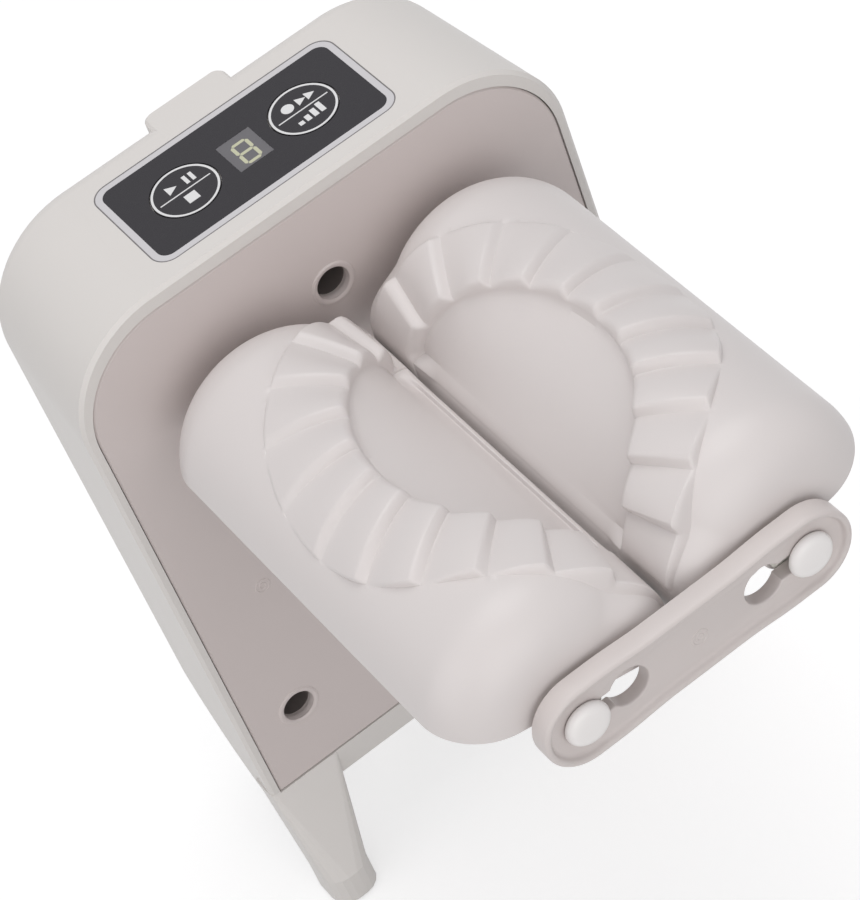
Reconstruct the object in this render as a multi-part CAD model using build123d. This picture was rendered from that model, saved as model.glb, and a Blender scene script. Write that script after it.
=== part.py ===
from build123d import *
import math
import os

# Electric dumpling maker: an arch-shaped housing on short legs with two counter-rotating
# moulding rollers that stick out of its front panel, held together at the front by a link bar.
# Built in millimetres with X to the right, the front facing -Y and +Z up.
# While building, the front face of the panel is y = 0 and the ground is z = 0.

# Housing outline
HALF_WIDTH = 72.3
REAR_HALF_WIDTH = 68.2
TOP_Z = 214.0
FASCIA_Z = 30.8
DEPTH = 51.0
TOP_RADIUS = 29.7
REAR_FILLET = 5.0
REAR_BOTTOM_RADIUS = 36.0
WALL = 2.6
FRONT_EDGE_CHAMFER = 1.0

# Front panel
PANEL_HALF = 69.3
PANEL_BOTTOM_Z = 39.8
TOP_RIM = 4.7
PANEL_TOP_Z = TOP_Z - TOP_RIM
PANEL_RADIUS = 26.9
PANEL_THICK = 3.0
PANEL_GAP = 0.3
LEDGE = 1.3
LOW_SCREW_X = 54.5
LOW_SCREW_RISE = 24.1
SCREW_WELL_RADIUS = 4.6
WELL_DEPTH = 11.0
BOSS_WALL = 1.8

# Rollers
AXIS_X = 31.3
AXIS_DROP = 44.3
AXIS_Z = TOP_Z - AXIS_DROP
TOP_SCREW_RISE = 13.3
ROLLER_RADIUS = 28.4
ROLLER_REAR_Y = -5.2
ROLLER_FRONT_Y = -135.2
ROLLER_END_ROUND = 15.5
ROLLER_END_STEPS = 5
MOULD_TILT = 12.0
ROLLER_WALL = 2.4
HUB_RADIUS = 8.5
RIB_THICK = 2.0
RIB_Y = (-38.0, -70.5, -103.0)
CREST_RADIUS = 30.9
OUTER_CREST_RADIUS = 28.9
NIP_CREST_RADIUS = 30.1
PLEAT_RISE = 1.6
CHORD_ANGLE = 8.0
CHORD_Y = -70.6
POCKET_RADIUS = 41.5
POCKET_FLOOR = ((14, 18.5), (22, 22.0), (45, 23.4), (70, 25.4), (94, 27.2))
PLEAT_OUTER_RADIUS = 58.5
PLEAT_COUNT = 13
PLEAT_INNER_RADIUS = 36.0
PLEAT_APEX_REACH = 5.5
PLEAT_ROOT = 22.0
PLEAT_FORM = ((0.0, 0.0), (0.32, 0.6), (0.6, 1.0), (0.84, 0.8))
LIP_THICK = 1.8
LIP_REACH = 55.0

# Shafts, pins, bearings
SHAFT_RADIUS = 4.0
RUNNING_GAP = 0.04
SEAT_GAP = 0.05
SHAFT_FRONT_Y = -62.0
SHAFT_REAR_Y = 29.0
FLAT_REAR_Y = -14.0
FLAT_DEPTH = 1.0
BUSH_RADIUS = 7.0
BUSH_FLANGE_RADIUS = 8.6
BUSH_BOSS_RADIUS = 10.0
BUSH_REAR_Y = 11.0
PIN_RADIUS = 3.0
PIN_HEAD_RADIUS = 5.8
PIN_HEAD_THICK = 2.7
PIN_SOCKET_DEPTH = 24.0

# Front link
LINK_REAR_Y = -137.0
LINK_FLOOR_Y = -141.0
LINK_FRONT_Y = -142.8
LINK_END_RADIUS = 11.4
LINK_WAIST_HALF = 9.4
LINK_RIM = 1.7
KEYHOLE_RADIUS = 5.2
KEYHOLE_OFFSET = 12.4
WASHER_RADIUS = 7.5

# Gear train behind the panel
MODULE = 1.5
TEETH = 16
GEAR_FRONT_Y = 13.5
GEAR_THICK = 6.5
IDLER_X = 12.0
PLATE_FRONT_Y = 22.0
PLATE_THICK = 2.0
PLATE_HALF_X = 56.0
PLATE_BELOW = 31.7
PLATE_ABOVE = 26.3
STANDOFF_RADIUS = 3.8
STANDOFF_X = 51.0
STANDOFF_LOW = 26.7
STANDOFF_HIGH = 20.8
SCREW_RADIUS = 1.5
SCREW_HEAD_RADIUS = 2.8
SCREW_HEAD_THICK = 1.8

# Worm gearbox and motor
GEARBOX_X = (13.0, 50.0)
GEARBOX_BELOW = 18.7
GEARBOX_ABOVE = 19.3
GEARBOX_REAR_Y = 46.0
MOTOR_RADIUS = 10.2
MOTOR_X = 24.0
MOTOR_Y = 36.0
MOTOR_CLEARANCE = 8.4
MOTOR_BOSS = 3.2

# Control area on top
FILM_HALF_X = 33.7
FILM_FRONT_Y = 7.5
FILM_REAR_Y = 39.2
BORDER = 2.1
BORDER_CORNER = 5.0
FILM_CORNER = 3.2
OVERLAY_THICK = 0.6
OVERLAY_SINK = 0.05
KEY_X = 17.6
KEY_Y = 23.2
KEY_RADIUS = 8.9
KEY_GAP = 0.3
KEY_TRAVEL = 0.4
KEY_STEM_RADIUS = 1.7
WINDOW_HALF_X = 4.9
WINDOW_HALF_Y = 6.0
BOARD_DROP = 13.0
BOARD_THICK = 1.6
BOARD_SCREW_RADIUS = 1.0
KEY_THICK = 0.85
KEY_BOTTOM_Z = TOP_Z - OVERLAY_SINK - KEY_THICK
SWITCH_HEIGHT = 4.3

# Charging port in the rear tab
TAB_HALF = 12.0
TAB_REAR_Y = 54.4
TAB_HEIGHT = 30.0
PORT_DROP = 18.0
PORT_HALF_X = 4.5
PORT_HALF_Z = 1.6

# Battery
CELL_RADIUS = 9.1
CELL_LENGTH = 65.0
CELL_Y = 36.0
CELL_RISE = 38.2
CELL_PITCH = 20.5
TRAY_WALL = 1.6

# Legs and feet
LEG_TOP_WIDTH = 22.0
TOE_WIDTH = 13.9
TOE_FRONT_Y = -14.8
TOE_HEIGHT = 10.8
TOE_LENGTH = 16.0
LEG_TOP_DEPTH = 9.0
LEG_CORNER_STEPS = 4
PAD_THICK = 1.6
PAD_PROUD = 0.8
REAR_TOE_X = 42.0
REAR_TOE_Y = (33.5, 49.5)
REAR_LEG_TOP_Z = 62.0

PITCH_RADIUS = MODULE * TEETH / 2
IDLER_DROP = math.sqrt((2 * PITCH_RADIUS) ** 2 - (AXIS_X - IDLER_X) ** 2)
IDLER_Z = AXIS_Z - IDLER_DROP
LOW_SCREW_Z = PANEL_BOTTOM_Z + LOW_SCREW_RISE
TOP_SCREW_Z = AXIS_Z + TOP_SCREW_RISE
STANDOFF_Z = (AXIS_Z - STANDOFF_LOW, AXIS_Z + STANDOFF_HIGH)
STANDOFFS = [(x, z) for x in (-STANDOFF_X, STANDOFF_X) for z in STANDOFF_Z]
GEARBOX_Z = (AXIS_Z - GEARBOX_BELOW, AXIS_Z + GEARBOX_ABOVE)
CELL_Z = (PANEL_BOTTOM_Z + CELL_RISE, PANEL_BOTTOM_Z + CELL_RISE + CELL_PITCH)
MOTOR_BOTTOM_Z = CELL_Z[1] + CELL_RADIUS + MOTOR_CLEARANCE
BOARD_TOP_Z = TOP_Z - BOARD_DROP
PORT_Z = TOP_Z - PORT_DROP
SHIFT_Y = -(TAB_REAR_Y + LINK_FLOOR_Y - 0.3 - PIN_HEAD_THICK) / 2


def box(x, y, z):
    """A block from three (low, high) pairs."""
    size = [pair[1] - pair[0] for pair in (x, y, z)]
    middle = [(pair[1] + pair[0]) / 2 for pair in (x, y, z)]
    return Pos(*middle) * Box(*size)


def rod(x, z, radius, y_from, y_to):
    """A cylinder along Y."""
    length = abs(y_to - y_from)
    middle = (y_to + y_from) / 2
    return Pos(x, middle, z) * Rot(90, 0, 0) * Cylinder(radius, length)


def hex_rod(x, z, radius, y_from, y_to):
    """A six-sided bar along Y; the radius reaches its corners."""
    plane = Plane(origin=(0, y_from, 0), x_dir=(1, 0, 0), z_dir=(0, -1, 0))
    with BuildSketch(plane) as sketch:
        with Locations((x, z)):
            RegularPolygon(radius, 6)
    return extrude(sketch.sketch, y_from - y_to)


def post(x, y, radius, z_from, z_to):
    """A cylinder along Z."""
    return Pos(x, y, (z_from + z_to) / 2) * Cylinder(radius, abs(z_to - z_from))


def hex_post(x, y, radius, z_from, z_to):
    """A six-sided bar along Z; the radius reaches its corners."""
    with BuildSketch(Plane.XY.offset(z_from)) as sketch:
        with Locations((x, y)):
            RegularPolygon(radius, 6)
    return extrude(sketch.sketch, z_to - z_from)


def corner_points(x, y, radius, heading, steps):
    """Points round a corner whose centre is (x, y), turning a quarter from the heading angle."""
    points = []
    for step in range(steps + 1):
        angle = math.radians(heading + 90 * step / steps)
        points.append((x + radius * math.cos(angle), y + radius * math.sin(angle)))
    return points


def arch_face(half, bottom, top, radius, y):
    """An arch outline standing in the XZ plane at the given y."""
    plane = Plane(origin=(0, y, 0), x_dir=(1, 0, 0), z_dir=(0, -1, 0))
    with BuildSketch(plane) as sketch:
        with BuildLine():
            Polyline((-half, bottom), (half, bottom), (half, top), (-half, top), close=True)
        make_face()
        fillet(sketch.vertices().sort_by(Axis.Y)[2:], radius)
    return sketch.sketch


def arch_block(half, rear_half, bottom, top, radius, y_from, y_to):
    """A block with upright tapering sides and a rounded arch top, reaching from y_from to y_to."""
    with BuildSketch(Plane.XY.offset(bottom)) as plan:
        with BuildLine():
            Polyline((-half, y_from), (half, y_from), (rear_half, y_to), (-rear_half, y_to), close=True)
        make_face()
    block = extrude(plan.sketch, top - bottom)
    shoulders = block.faces().sort_by(Axis.Z)[-1].edges().sort_by(Axis.X)
    return fillet([shoulders[0], shoulders[-1]], radius)


def side_profile(inset, y_front):
    """The housing seen from the side: tall, with a large radius at the rear bottom."""
    with BuildSketch(Plane.YZ) as sketch:
        with BuildLine():
            low = FASCIA_Z + inset
            rear = DEPTH - inset
            Polyline((y_front, low), (rear, low), (rear, TOP_Z + 5), (y_front, TOP_Z + 5), close=True)
        make_face()
        corner = sketch.vertices().sort_by(Axis.Y)[:2].sort_by(Axis.X)[-1]
        fillet(corner, REAR_BOTTOM_RADIUS - inset)
    return extrude(sketch.sketch, HALF_WIDTH + 5, both=True)


def rounded_plan(x, y, front_radius, rear_radius, z):
    """A four-sided plan with rounded corners; y holds the front and rear of its outer side."""
    (inner, outer), (front, rear) = x, y
    f, r = front_radius, rear_radius
    points = corner_points(inner + f, front + f, f, 180, LEG_CORNER_STEPS)
    points += corner_points(outer - f, front + f, f, 270, LEG_CORNER_STEPS)
    points += corner_points(outer - r, rear - r, r, 0, LEG_CORNER_STEPS)
    points += corner_points(inner + r, rear - r, r, 90, LEG_CORNER_STEPS)
    with BuildSketch(Plane.XY.offset(z)) as plan:
        with BuildLine():
            Polyline(*points, close=True)
        make_face()
    return plan.sketch


def leg(side):
    """A front leg: a sloping front face that narrows to a rounded toe standing on the ground."""
    outer = HALF_WIDTH
    front = TOE_FRONT_Y
    top = rounded_plan((outer - LEG_TOP_WIDTH, outer), (0, LEG_TOP_DEPTH), 1.2, 1.2, PANEL_BOTTOM_Z)
    toe = rounded_plan((outer - TOE_WIDTH, outer), (front, front + TOE_LENGTH), 5.6, 4.0, TOE_HEIGHT)
    upper = loft([toe, top], ruled=True)
    lower = extrude(toe, -(TOE_HEIGHT - PAD_PROUD))
    shape = upper + lower
    return shape if side > 0 else mirror(shape, Plane.YZ)


def rear_leg(side):
    """A rear leg: it leaves the curved underside and narrows to the same kind of toe."""
    low, high = REAR_TOE_Y
    half = TOE_WIDTH / 2
    toe = rounded_plan((REAR_TOE_X - half, REAR_TOE_X + half), (low, high), 4.5, 4.5, TOE_HEIGHT)
    wide = half + 4.5
    top = rounded_plan((REAR_TOE_X - wide, REAR_TOE_X + wide), (low - 7, high), 4.5, 4.5, REAR_LEG_TOP_Z)
    lower = extrude(toe, -(TOE_HEIGHT - PAD_PROUD))
    shape = loft([toe, top], ruled=True) + lower
    return shape if side > 0 else mirror(shape, Plane.YZ)


def screw_bosses():
    """Posts on the inside of the rear wall that take the three panel screws."""
    front = WELL_DEPTH + BOSS_WALL + PANEL_GAP
    shape = None
    for x, z in screw_positions():
        post_body = rod(x, z, 4.5, front, DEPTH - WALL + 0.5)
        shape = post_body if shape is None else shape + post_body
    return shape


def screw_positions():
    return ((0, TOP_SCREW_Z), (-LOW_SCREW_X, LOW_SCREW_Z), (LOW_SCREW_X, LOW_SCREW_Z))


def housing_shell():
    outer = arch_block(HALF_WIDTH, REAR_HALF_WIDTH, FASCIA_Z, TOP_Z, TOP_RADIUS, 0, DEPTH)
    rear_edges = outer.faces().sort_by(Axis.Y)[-1].edges()
    outer = fillet(rear_edges.sort_by(Axis.Z)[1:], REAR_FILLET)
    front_edges = outer.faces().sort_by(Axis.Y)[0].outer_wire().edges()
    outer = chamfer(front_edges.sort_by(Axis.Z)[1:], FRONT_EDGE_CHAMFER)
    outer = (outer & side_profile(0, -1)).solid()
    tab = box((-TAB_HALF, TAB_HALF), (DEPTH - 12, TAB_REAR_Y), (TOP_Z - TAB_HEIGHT, TOP_Z))
    tab = fillet(tab.edges().filter_by(Axis.Z).group_by(Axis.Y)[-1], 3.0)
    tab = chamfer(tab.faces().sort_by(Axis.Z)[-1].edges(), 0.8)
    shape = outer + tab + leg(1) + leg(-1) + rear_leg(1) + rear_leg(-1)

    seat_half = PANEL_HALF + PANEL_GAP
    seat_radius = PANEL_RADIUS + PANEL_GAP
    seat = arch_face(seat_half, PANEL_BOTTOM_Z - PANEL_GAP, PANEL_TOP_Z + PANEL_GAP, seat_radius, -1)
    shape -= extrude(seat, -(PANEL_THICK + 1))
    half = seat_half - LEDGE
    top = PANEL_TOP_Z - LEDGE
    narrow = half - (HALF_WIDTH - REAR_HALF_WIDTH)
    floor = PANEL_BOTTOM_Z + LEDGE
    hollow = arch_block(half, narrow, floor, top, seat_radius - LEDGE, PANEL_THICK - 0.5, DEPTH - WALL)
    hollow &= side_profile(WALL, -1)
    shape -= hollow
    shape += screw_bosses()
    for x, z in screw_positions():
        shape -= hex_rod(x, z, SCREW_RADIUS, WELL_DEPTH, WELL_DEPTH + 16)

    shape -= overlay_recess()
    for x in (-KEY_X, KEY_X):
        shape -= post(x, KEY_Y, KEY_STEM_RADIUS + KEY_GAP, PANEL_TOP_Z - 8, TOP_Z)
        shape -= post(x, KEY_Y, KEY_RADIUS + KEY_GAP, KEY_BOTTOM_Z - KEY_TRAVEL - KEY_GAP, TOP_Z)
    window = ((-WINDOW_HALF_X + 0.6, WINDOW_HALF_X - 0.6), (KEY_Y - WINDOW_HALF_Y + 0.6, KEY_Y + WINDOW_HALF_Y - 0.6))
    shape -= box(*window, (PANEL_TOP_Z - 8, TOP_Z))
    for x, y in board_posts():
        shape += hex_post(x, y, 2.8, BOARD_TOP_Z, PANEL_TOP_Z)
        shape -= hex_post(x, y, BOARD_SCREW_RADIUS, BOARD_TOP_Z, BOARD_TOP_Z + 6)

    port_slot = box((-PORT_HALF_X - 0.4, PORT_HALF_X + 0.4), (DEPTH - 20, TAB_REAR_Y + 1), (PORT_Z - 2.0, PORT_Z + 2.0))
    shape -= port_slot
    for x, y in pad_positions():
        shape -= post(x, y, 4.6, 0, PAD_THICK)
    for z in vent_heights():
        shape -= box((-22, 22), (DEPTH - 8, DEPTH + 1), (z - 0.9, z + 0.9))
    return shape.solid()


def vent_heights():
    return [MOTOR_BOTTOM_Z + 2.0 + 5.5 * i for i in range(6)]


def board_posts():
    return ((-29.0, 12.0), (29.0, 12.0), (-29.0, 34.0), (29.0, 34.0))


def pad_positions():
    toe_x = HALF_WIDTH - TOE_WIDTH / 2
    rear_y = sum(REAR_TOE_Y) / 2
    return ((-toe_x, TOE_FRONT_Y + 7), (toe_x, TOE_FRONT_Y + 7), (-REAR_TOE_X, rear_y), (REAR_TOE_X, rear_y))


def rounded_slab(half_x, y, z, corner):
    low_y, high_y = y
    slab = box((-half_x, half_x), (low_y, high_y), z)
    return fillet(slab.edges().filter_by(Axis.Z), corner)


def overlay_recess():
    """The shallow seat in the top for the border frame and the film."""
    span = (FILM_FRONT_Y - BORDER, FILM_REAR_Y + BORDER)
    return rounded_slab(FILM_HALF_X + BORDER, span, (TOP_Z - OVERLAY_THICK, TOP_Z + 1), BORDER_CORNER)


def overlay_border():
    low, high = TOP_Z - OVERLAY_THICK, TOP_Z - OVERLAY_SINK
    span = (FILM_FRONT_Y - BORDER + SEAT_GAP, FILM_REAR_Y + BORDER - SEAT_GAP)
    frame = rounded_slab(FILM_HALF_X + BORDER - SEAT_GAP, span, (low, high), BORDER_CORNER - SEAT_GAP)
    hole = rounded_slab(FILM_HALF_X, (FILM_FRONT_Y, FILM_REAR_Y), (low - 1, high + 1), FILM_CORNER)
    return (frame - hole).solid()


def overlay_film():
    low, high = TOP_Z - OVERLAY_THICK, TOP_Z - OVERLAY_SINK
    gap = SEAT_GAP
    span = (FILM_FRONT_Y + gap, FILM_REAR_Y - gap)
    film = rounded_slab(FILM_HALF_X - gap, span, (low, high), FILM_CORNER - gap)
    for x in (-KEY_X, KEY_X):
        film -= post(x, KEY_Y, KEY_RADIUS + KEY_GAP, low - 1, high + 1)
    edge_x = WINDOW_HALF_X + gap
    edge_y = WINDOW_HALF_Y + gap
    film -= box((-edge_x, edge_x), (KEY_Y - edge_y, KEY_Y + edge_y), (low - 1, high + 1))
    return film.solid()


def display_window():
    x = (-WINDOW_HALF_X, WINDOW_HALF_X)
    y = (KEY_Y - WINDOW_HALF_Y, KEY_Y + WINDOW_HALF_Y)
    return box(x, y, (TOP_Z - OVERLAY_THICK, TOP_Z - OVERLAY_SINK))


def key(x):
    """A round film key with its stem, which reaches down into the switch under it."""
    disc = post(x, KEY_Y, KEY_RADIUS, KEY_BOTTOM_Z, TOP_Z - OVERLAY_SINK)
    stem = post(x, KEY_Y, KEY_STEM_RADIUS, BOARD_TOP_Z + SWITCH_HEIGHT - 0.4, KEY_BOTTOM_Z)
    return (disc + stem).solid()


def switch_bodies():
    """Two tactile switch cases on the control board, each with a well for its key stem."""
    solids = []
    for x in (-KEY_X, KEY_X):
        case = box((x - 3, x + 3), (KEY_Y - 3, KEY_Y + 3), (BOARD_TOP_Z, BOARD_TOP_Z + SWITCH_HEIGHT))
        well = BOARD_TOP_Z + SWITCH_HEIGHT - 1.3
        case -= post(x, KEY_Y, KEY_STEM_RADIUS + KEY_GAP, well, BOARD_TOP_Z + 9)
        solids.append(case.solid())
    return Compound(children=solids)


def display_module():
    x = (-WINDOW_HALF_X + 0.9, WINDOW_HALF_X - 0.9)
    y = (KEY_Y - WINDOW_HALF_Y + 0.9, KEY_Y + WINDOW_HALF_Y - 0.9)
    return box(x, y, (BOARD_TOP_Z, TOP_Z - OVERLAY_THICK - 0.05))


def control_board():
    z = (BOARD_TOP_Z - BOARD_THICK, BOARD_TOP_Z)
    board = box((-33, 33), (8.0, 38.0), z)
    board = fillet(board.edges().filter_by(Axis.Z), 2.0)
    for x, y in board_posts():
        board -= hex_post(x, y, BOARD_SCREW_RADIUS + SEAT_GAP, z[0] - 1, z[1] + 1)
    return board.solid()


def board_screws():
    solids = []
    for x, y in board_posts():
        low = BOARD_TOP_Z - BOARD_THICK
        screw = hex_post(x, y, 1.9, low - 1.3, low - SEAT_GAP)
        screw += hex_post(x, y, BOARD_SCREW_RADIUS - SEAT_GAP, low - 0.5, low + 6)
        solids.append(screw.solid())
    return Compound(children=solids)


def front_panel():
    face = arch_face(PANEL_HALF, PANEL_BOTTOM_Z, PANEL_TOP_Z, PANEL_RADIUS, 0)
    panel = extrude(face, -(PANEL_THICK - SEAT_GAP))
    rim = panel.faces().sort_by(Axis.Y)[0].outer_wire().edges()
    panel = chamfer(rim, 0.45)
    for side in (-1, 1):
        panel += rod(side * AXIS_X, AXIS_Z, BUSH_BOSS_RADIUS, 1.0, BUSH_REAR_Y)
    for x, z in screw_positions():
        panel += rod(x, z, SCREW_WELL_RADIUS + BOSS_WALL, 1.0, WELL_DEPTH + BOSS_WALL)
    for x, z in STANDOFFS:
        panel += hex_rod(x, z, STANDOFF_RADIUS, 1.0, PLATE_FRONT_Y)
    for x, z in STANDOFFS:
        panel -= hex_rod(x, z, SCREW_RADIUS, PLATE_FRONT_Y - 12, PLATE_FRONT_Y + 1)
    for side in (-1, 1):
        panel -= rod(side * AXIS_X, AXIS_Z, BUSH_RADIUS + SEAT_GAP, -1, BUSH_REAR_Y + 1)
    for x, z in screw_positions():
        panel -= rod(x, z, SCREW_WELL_RADIUS, -1, WELL_DEPTH)
        panel -= hex_rod(x, z, SCREW_RADIUS + SEAT_GAP, 0, WELL_DEPTH + 5)
    return panel.solid()


def panel_screws():
    solids = []
    for x, z in screw_positions():
        head = rod(x, z, 3.2, WELL_DEPTH - 2.2, WELL_DEPTH - SEAT_GAP)
        cross = box((x - 1.6, x + 1.6), (WELL_DEPTH - 3, WELL_DEPTH - 1.3), (z - 0.35, z + 0.35))
        cross += box((x - 0.35, x + 0.35), (WELL_DEPTH - 3, WELL_DEPTH - 1.3), (z - 1.6, z + 1.6))
        shank = hex_rod(x, z, SCREW_RADIUS - SEAT_GAP, WELL_DEPTH - 1, WELL_DEPTH + 14)
        solids.append((head + shank - cross).solid())
    return Compound(children=solids)


def bushing(x):
    """A flanged bearing sleeve pressed into the panel from the front."""
    body = rod(x, AXIS_Z, BUSH_RADIUS, -0.3, BUSH_REAR_Y - 0.3)
    body += rod(x, AXIS_Z, BUSH_FLANGE_RADIUS, -1.8, -SEAT_GAP)
    body = body.solid()
    return (body - rod(x, AXIS_Z, SHAFT_RADIUS + RUNNING_GAP, -5, 20)).solid()


def polar(angle_deg, radius, y):
    angle = math.radians(angle_deg)
    return Vector(-AXIS_X + radius * math.cos(angle), y, AXIS_Z + radius * math.sin(angle))


def half_loaf(radius, rear, front, end_round, steps, base):
    """A half-round body with rounded ends on the left roller's axis, cut flat at base above the axis."""
    inner = radius - end_round
    rear_end = corner_points(inner, rear - end_round, end_round, 0, steps)
    front_end = corner_points(inner, front + end_round, end_round, 270, steps)
    with BuildSketch(Plane(origin=(-AXIS_X, 0, AXIS_Z), x_dir=(1, 0, 0), z_dir=(0, 0, 1))) as sketch:
        with BuildLine():
            Polyline((0, front), *front_end, *rear_end, (0, rear), close=True)
        make_face()
    whole = revolve(sketch.sketch, Axis((-AXIS_X, 0, AXIS_Z), (0, 1, 0)))
    below = Pos(0, 0, base - 50) * Box(200, 400, 100)
    cut = Pos(-AXIS_X, 0, AXIS_Z) * Rot(0, MOULD_TILT, 0) * below
    return (whole - cut).solid()


def roller_hollow():
    """The space inside the moulded shell, open to the flat side, around the ribs and the pocket wall."""
    wall = ROLLER_WALL
    rear, front = ROLLER_REAR_Y - wall, ROLLER_FRONT_Y + wall
    space = half_loaf(ROLLER_RADIUS - wall, rear, front, ROLLER_END_ROUND - wall, 2, -5)
    for y in RIB_Y:
        space -= box((-AXIS_X - 40, -AXIS_X + 40), (y - RIB_THICK / 2, y + RIB_THICK / 2), (AXIS_Z - 40, AXIS_Z + 40))
    return space - pocket_cutter(wall)


def pleat_line(ray_share, form, root):
    """A line across the pleated ring along one ray, at the pleat's height or at the sunk root."""
    ray = math.pi * ray_share / PLEAT_COUNT
    outer_reach = PLEAT_OUTER_RADIUS + PLEAT_APEX_REACH * math.sin(ray) ** 3
    edge_crest = OUTER_CREST_RADIUS + (NIP_CREST_RADIUS - OUTER_CREST_RADIUS) * math.cos(ray) ** 2
    points = []
    for step in range(4):
        share = step / 3
        reach = PLEAT_INNER_RADIUS + share * (outer_reach - PLEAT_INNER_RADIUS)
        height = CREST_RADIUS + share * (edge_crest - CREST_RADIUS) - PLEAT_RISE * (1 - form)
        around = CHORD_ANGLE + math.degrees(reach * math.sin(ray) / ROLLER_RADIUS)
        points.append(polar(around, PLEAT_ROOT if root else height, CHORD_Y + reach * math.cos(ray)))
    return Edge.make_spline(points)


def ruled(first, second):
    return Face.make_surface_from_curves(first, second)


def pleat_ring():
    """The pleated ring: saw-tooth pleats that fan out round the pocket, each with a rounded crest."""
    stations = [(pleat + share, form) for pleat in range(PLEAT_COUNT) for share, form in PLEAT_FORM]
    stations.append((PLEAT_COUNT, 0.0))
    crests = [pleat_line(share, form, False) for share, form in stations]
    roots = [pleat_line(share, form, True) for share, form in stations]
    faces = [ruled(crests[0], roots[0]), ruled(crests[-1], roots[-1])]
    for index in range(len(stations) - 1):
        high, next_high = crests[index], crests[index + 1]
        low, next_low = roots[index], roots[index + 1]
        faces += [ruled(high, next_high), ruled(low, next_low)]
        for end in (0, 1):
            top_edge = Edge.make_line(high @ end, next_high @ end)
            root_edge = Edge.make_line(low @ end, next_low @ end)
            faces.append(ruled(top_edge, root_edge))
    return Solid(Shell(faces))


def pocket_cutter(grow=0):
    """The half-dumpling pocket: a slanting floor, deepest beside the lip, within a half-oval outline."""
    side = CHORD_ANGLE + 5 - 4 * grow
    points = []
    for angle, radius in ((side, 36), (side, 24), *POCKET_FLOOR, (96 + 4 * grow, 38), (50, 46)):
        inward = grow if radius < 30 else 0
        at = polar(angle, radius - inward, 0)
        points.append((at.X, at.Z))
    plane = Plane(origin=(0, 0, 0), x_dir=(1, 0, 0), z_dir=(0, -1, 0))
    with BuildSketch(plane) as sketch:
        with BuildLine():
            Polyline(*points, close=True)
        make_face()
    wedge = extrude(sketch.sketch, 150, both=True)
    near = CHORD_ANGLE
    far = CHORD_ANGLE + math.degrees(POCKET_RADIUS / ROLLER_RADIUS)
    middle = (near + far) / 2
    span = 2 * ROLLER_RADIUS * math.sin(math.radians((far - near) / 2))
    origin = polar(near, ROLLER_RADIUS, CHORD_Y)
    away = math.radians(middle + 90)
    across = (math.cos(away), 0, math.sin(away))
    outward = (math.cos(math.radians(middle)), 0, math.sin(math.radians(middle)))
    with BuildSketch(Plane(origin=origin, x_dir=across, z_dir=outward)) as outline:
        Ellipse(span + grow, POCKET_RADIUS + grow)
    column = extrude(outline.sketch, 60, both=True)
    return wedge & column


def chord_lip():
    """The thin straight lip that closes the fold side of the pocket."""
    angle = CHORD_ANGLE
    tall = Pos(-AXIS_X, CHORD_Y, AXIS_Z) * Rot(0, -angle, 0)
    blade = Pos((CREST_RADIUS + 16) / 2, 0, LIP_THICK / 2) * Box(CREST_RADIUS - 16, 2 * LIP_REACH, LIP_THICK)
    blade = fillet(blade.edges().filter_by(Axis.Y).sort_by(Axis.X)[-2:], 0.7)
    return tall * blade


def left_roller():
    shape = half_loaf(ROLLER_RADIUS, ROLLER_REAR_Y, ROLLER_FRONT_Y, ROLLER_END_ROUND, ROLLER_END_STEPS, 0)
    shape += pleat_ring()
    shape -= roller_hollow()
    shape -= pocket_cutter()
    shape += chord_lip()
    shape += rod(-AXIS_X, AXIS_Z, HUB_RADIUS, ROLLER_REAR_Y, ROLLER_FRONT_Y)
    socket = rod(-AXIS_X, AXIS_Z, SHAFT_RADIUS + SEAT_GAP, ROLLER_REAR_Y + 1, SHAFT_FRONT_Y - 0.3)
    flat_z = AXIS_Z + SHAFT_RADIUS - FLAT_DEPTH + SEAT_GAP
    flat = box((-AXIS_X - 9, -AXIS_X + 9), (SHAFT_FRONT_Y - 2, FLAT_REAR_Y - 0.6), (flat_z, AXIS_Z + 9))
    shape -= socket - flat
    depth = ROLLER_FRONT_Y + PIN_SOCKET_DEPTH
    shape -= rod(-AXIS_X, AXIS_Z, PIN_RADIUS + SEAT_GAP, ROLLER_FRONT_Y - 1, depth)
    return shape.solid()


def drive_shaft(x):
    """A steel shaft with a flat milled on the part inside the roller."""
    shaft = rod(x, AXIS_Z, SHAFT_RADIUS, SHAFT_FRONT_Y, SHAFT_REAR_Y)
    flat_z = AXIS_Z + SHAFT_RADIUS - FLAT_DEPTH
    flat = box((x - 9, x + 9), (SHAFT_FRONT_Y - 1, FLAT_REAR_Y), (flat_z, AXIS_Z + 9))
    shaft = (shaft - flat).solid()
    return shaft


def shaft_clip(x):
    """A retaining ring that keeps the shaft from sliding forwards."""
    ring = rod(x, AXIS_Z, 6.0, BUSH_REAR_Y + 0.4, BUSH_REAR_Y + 1.6)
    ring -= rod(x, AXIS_Z, SHAFT_RADIUS + SEAT_GAP, BUSH_REAR_Y, BUSH_REAR_Y + 3)
    ring -= box((x - 2.2, x + 2.2), (BUSH_REAR_Y, BUSH_REAR_Y + 3), (AXIS_Z - 9, AXIS_Z - 2))
    return ring.solid()


def pivot_pin(x):
    """A headed pin pushed into the roller's front end, on which the link bar hooks."""
    head_rear = LINK_FLOOR_Y - 0.3
    head = rod(x, AXIS_Z, PIN_HEAD_RADIUS, head_rear - PIN_HEAD_THICK, head_rear)
    head = chamfer(head.edges().sort_by(Axis.Y)[0], 0.6, 1.6)
    shank = rod(x, AXIS_Z, PIN_RADIUS, head_rear, ROLLER_FRONT_Y + PIN_SOCKET_DEPTH - 1)
    return (head + shank).solid()


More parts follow.
